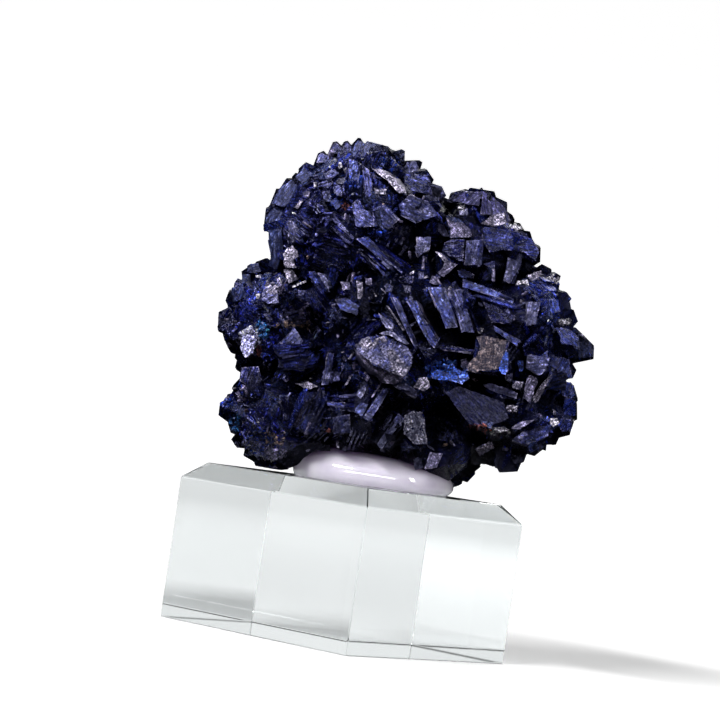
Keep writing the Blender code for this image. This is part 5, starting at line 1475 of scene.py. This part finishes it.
def make_cluster():
    rng = random.Random(SEED)
    surface = Surface(CLUSTER)
    shapes = make_shapes(rng)
    group = growth_group()
    face_mat = azurite_material("azurite faces", group, 0.9, (0.03, 0.03, 0.05))
    blade_mat = azurite_material("azurite blades", group, 0.8, (0.07, 0.07, 0.11))
    relief = PaintedGapShade(surface)
    make_ground(surface, face_mat, relief, rng)
    places = [face_place(row, surface) for row in PLATES]
    planter = Planter(surface, Guard(surface, places), rng)
    parts = {
        "azurite_faces": (grow_plates(places, rng), face_mat, 0.35),
        "azurite_fans": (grow_fans(surface, planter, shapes, rng), blade_mat, 0.9),
        "azurite_books": (grow_books(surface, planter, shapes, rng), blade_mat, 1.0),
        "azurite_grains": (grow_grains(surface, planter, shapes, rng, 13000), blade_mat, 0.9),
        "azurite_patches": (grow_patches(surface, planter, shapes, rng), blade_mat, 0.3),
    }
    for name, (growth, mat, strength) in parts.items():
        declare(growth.build(name, mat, relief, strength), CLUSTER)


def make_putty():
    """A pressed pad, smooth and glossy, that bulges at its rim."""
    crown_x, crown_y, rim_height, undercut, fullness = -2.8, -0.5, 1.3, 0.055, 0.8
    bm = bmesh.new()
    bmesh.ops.create_uvsphere(bm, u_segments=72, v_segments=36, radius=1.0)
    middle = (PUTTY_LOW + PUTTY_HIGH) / 2.0
    half = (PUTTY_HIGH - PUTTY_LOW) / 2.0
    bottom = BLOCK_TOP + 0.02
    height = PUTTY_HIGH.z - bottom + 0.2
    for vert in bm.verts:
        x, y, z = vert.co
        angle = math.atan2(y, x)
        wave = 0.97 * (1.0 + 0.03 * math.sin(3.0 * angle + 0.6) + 0.02 * math.sin(5.0 * angle))
        edge_x = middle.x + half.x * wave * math.cos(angle)
        edge_y = middle.y + half.y * wave * math.sin(angle)
        if z >= 0.0:
            out, rise = math.hypot(x, y), rim_height + (height - rim_height) * z ** fullness
        else:
            low = min(1.0, -z * 1.6)
            out, rise = (1.0 - undercut * low * low) * min(1.0, math.hypot(x, y) * 1.6), rim_height * (1.0 - low)
        vert.co = Vector((crown_x + (edge_x - crown_x) * out, crown_y + (edge_y - crown_y) * out, bottom + rise)) * MM
    bmesh.ops.recalc_face_normals(bm, faces=bm.faces)
    for face in bm.faces:
        face.smooth = True
    piece = link_object("putty_pad", bm, putty_material())
    declare(piece, "mounting_putty")


def make_block():
    """The clear block: chamfered top, all its edges just broken."""
    side, chamfer, yaw, broken = 38.1, 2.7, 49.7, 0.2
    bm = bmesh.new()
    bmesh.ops.create_cube(bm, size=1.0)
    bmesh.ops.scale(bm, vec=Vector((side, side, BLOCK_TOP)) * MM, verts=bm.verts)
    bmesh.ops.translate(bm, vec=(0.0, 0.0, BLOCK_TOP * MM / 2.0), verts=bm.verts)
    top = [edge for edge in bm.edges if all(vert.co.z > BLOCK_TOP * MM * 0.9 for vert in edge.verts)]
    bmesh.ops.bevel(bm, geom=top, offset=chamfer * MM, offset_type="OFFSET", segments=1, profile=0.5,
                    affect="EDGES", clamp_overlap=True, material=-1)
    bmesh.ops.bevel(bm, geom=bm.edges[:], offset=broken * MM, offset_type="OFFSET", segments=2, profile=0.5,
                    affect="EDGES", clamp_overlap=True, material=-1)
    bmesh.ops.rotate(bm, cent=(0, 0, 0), matrix=Matrix.Rotation(math.radians(yaw), 3, "Z"), verts=bm.verts)
    piece = link_object("acrylic_block", bm, acrylic_material())
    declare(piece, "acrylic_base")


# ---------------------------------------------------------------- stage, light and camera

def make_stage():
    """A round white tent: a floor that curves up into a wall and closes overhead."""
    floor_radius, bend, wall, sunk = 0.65, 0.30, 0.75, 0.00005
    outline = [(0.0, -sunk), (floor_radius, -sunk)]
    for k in range(1, 9):
        angle = math.radians(90.0 * k / 8.0)
        outline.append((floor_radius + bend * math.sin(angle), bend * (1.0 - math.cos(angle))))
    reach = floor_radius + bend
    for k in range(9):
        angle = math.radians(90.0 * k / 8.0)
        outline.append((reach * math.cos(angle), wall + reach * math.sin(angle)))
    bm = bmesh.new()
    profile = [bm.verts.new((radius, 0.0, height)) for radius, height in outline]
    edges = [bm.edges.new(pair) for pair in zip(profile, profile[1:])]
    bmesh.ops.spin(bm, geom=profile + edges, cent=(0, 0, 0), axis=(0, 0, 1), angle=2.0 * math.pi, steps=96,
                   use_merge=True)
    bmesh.ops.remove_doubles(bm, verts=bm.verts, dist=1e-6)
    bmesh.ops.recalc_face_normals(bm, faces=bm.faces)
    bmesh.ops.reverse_faces(bm, faces=bm.faces)
    for face in bm.faces:
        face.smooth = True
    sweep = link_object("tent", bm, stage_material())
    sweep.visible_glossy = False
    sweep.visible_diffuse = False


def area_light(name, place, aim, size, power, colour=(1.0, 1.0, 1.0)):
    light = bpy.data.lights.new(name, "AREA")
    light.shape = "RECTANGLE"
    light.size, light.size_y = size
    light.energy = power
    light.color = colour
    obj = bpy.data.objects.new(name, light)
    obj.location = place
    obj.rotation_euler = (Vector(aim) - Vector(place)).to_track_quat("-Z", "Y").to_euler()
    bpy.context.scene.collection.objects.link(obj)


def make_lights():
    middle = (0.0, 0.0, 0.05)
    area_light("key", (-0.30, -0.38, 0.50), middle, (0.34, 0.07), 5.0)
    area_light("strip", (0.00, -0.58, 0.20), middle, (0.60, 0.03), 0.9)
    area_light("fill", (0.50, -0.35, 0.30), middle, (0.08, 0.24), 1.9)
    area_light("back", (0.10, 0.55, 0.55), middle, (0.40, 0.30), 2.4)
    world = bpy.data.worlds.new("room")
    bpy.context.scene.world = world
    world.use_nodes = True
    sky = world.node_tree.nodes["Background"]
    sky.inputs["Color"].default_value = (1.0, 1.0, 1.0, 1.0)
    sky.inputs["Strength"].default_value = 0.005


def make_camera():
    camera = bpy.data.cameras.new("camera")
    camera.sensor_width = 36.0
    camera.lens = 136.35
    camera.clip_start = 0.01
    obj = bpy.data.objects.new("camera", camera)
    bpy.context.scene.collection.objects.link(obj)
    place, aim, roll = Vector((0.0, -0.42369, 0.03109)), Vector((-0.0020, 0.0, 0.0436)), math.radians(8.2549)
    turn = (aim - place).to_track_quat("-Z", "Y").to_matrix().to_4x4()
    obj.matrix_world = Matrix.Translation(place) @ turn @ Matrix.Rotation(roll, 4, "Z")
    bpy.context.scene.camera = obj


make_camera()
make_cluster()
make_putty()
make_block()
make_stage()
make_lights()
bpy.context.scene.view_settings.view_transform = "Standard"
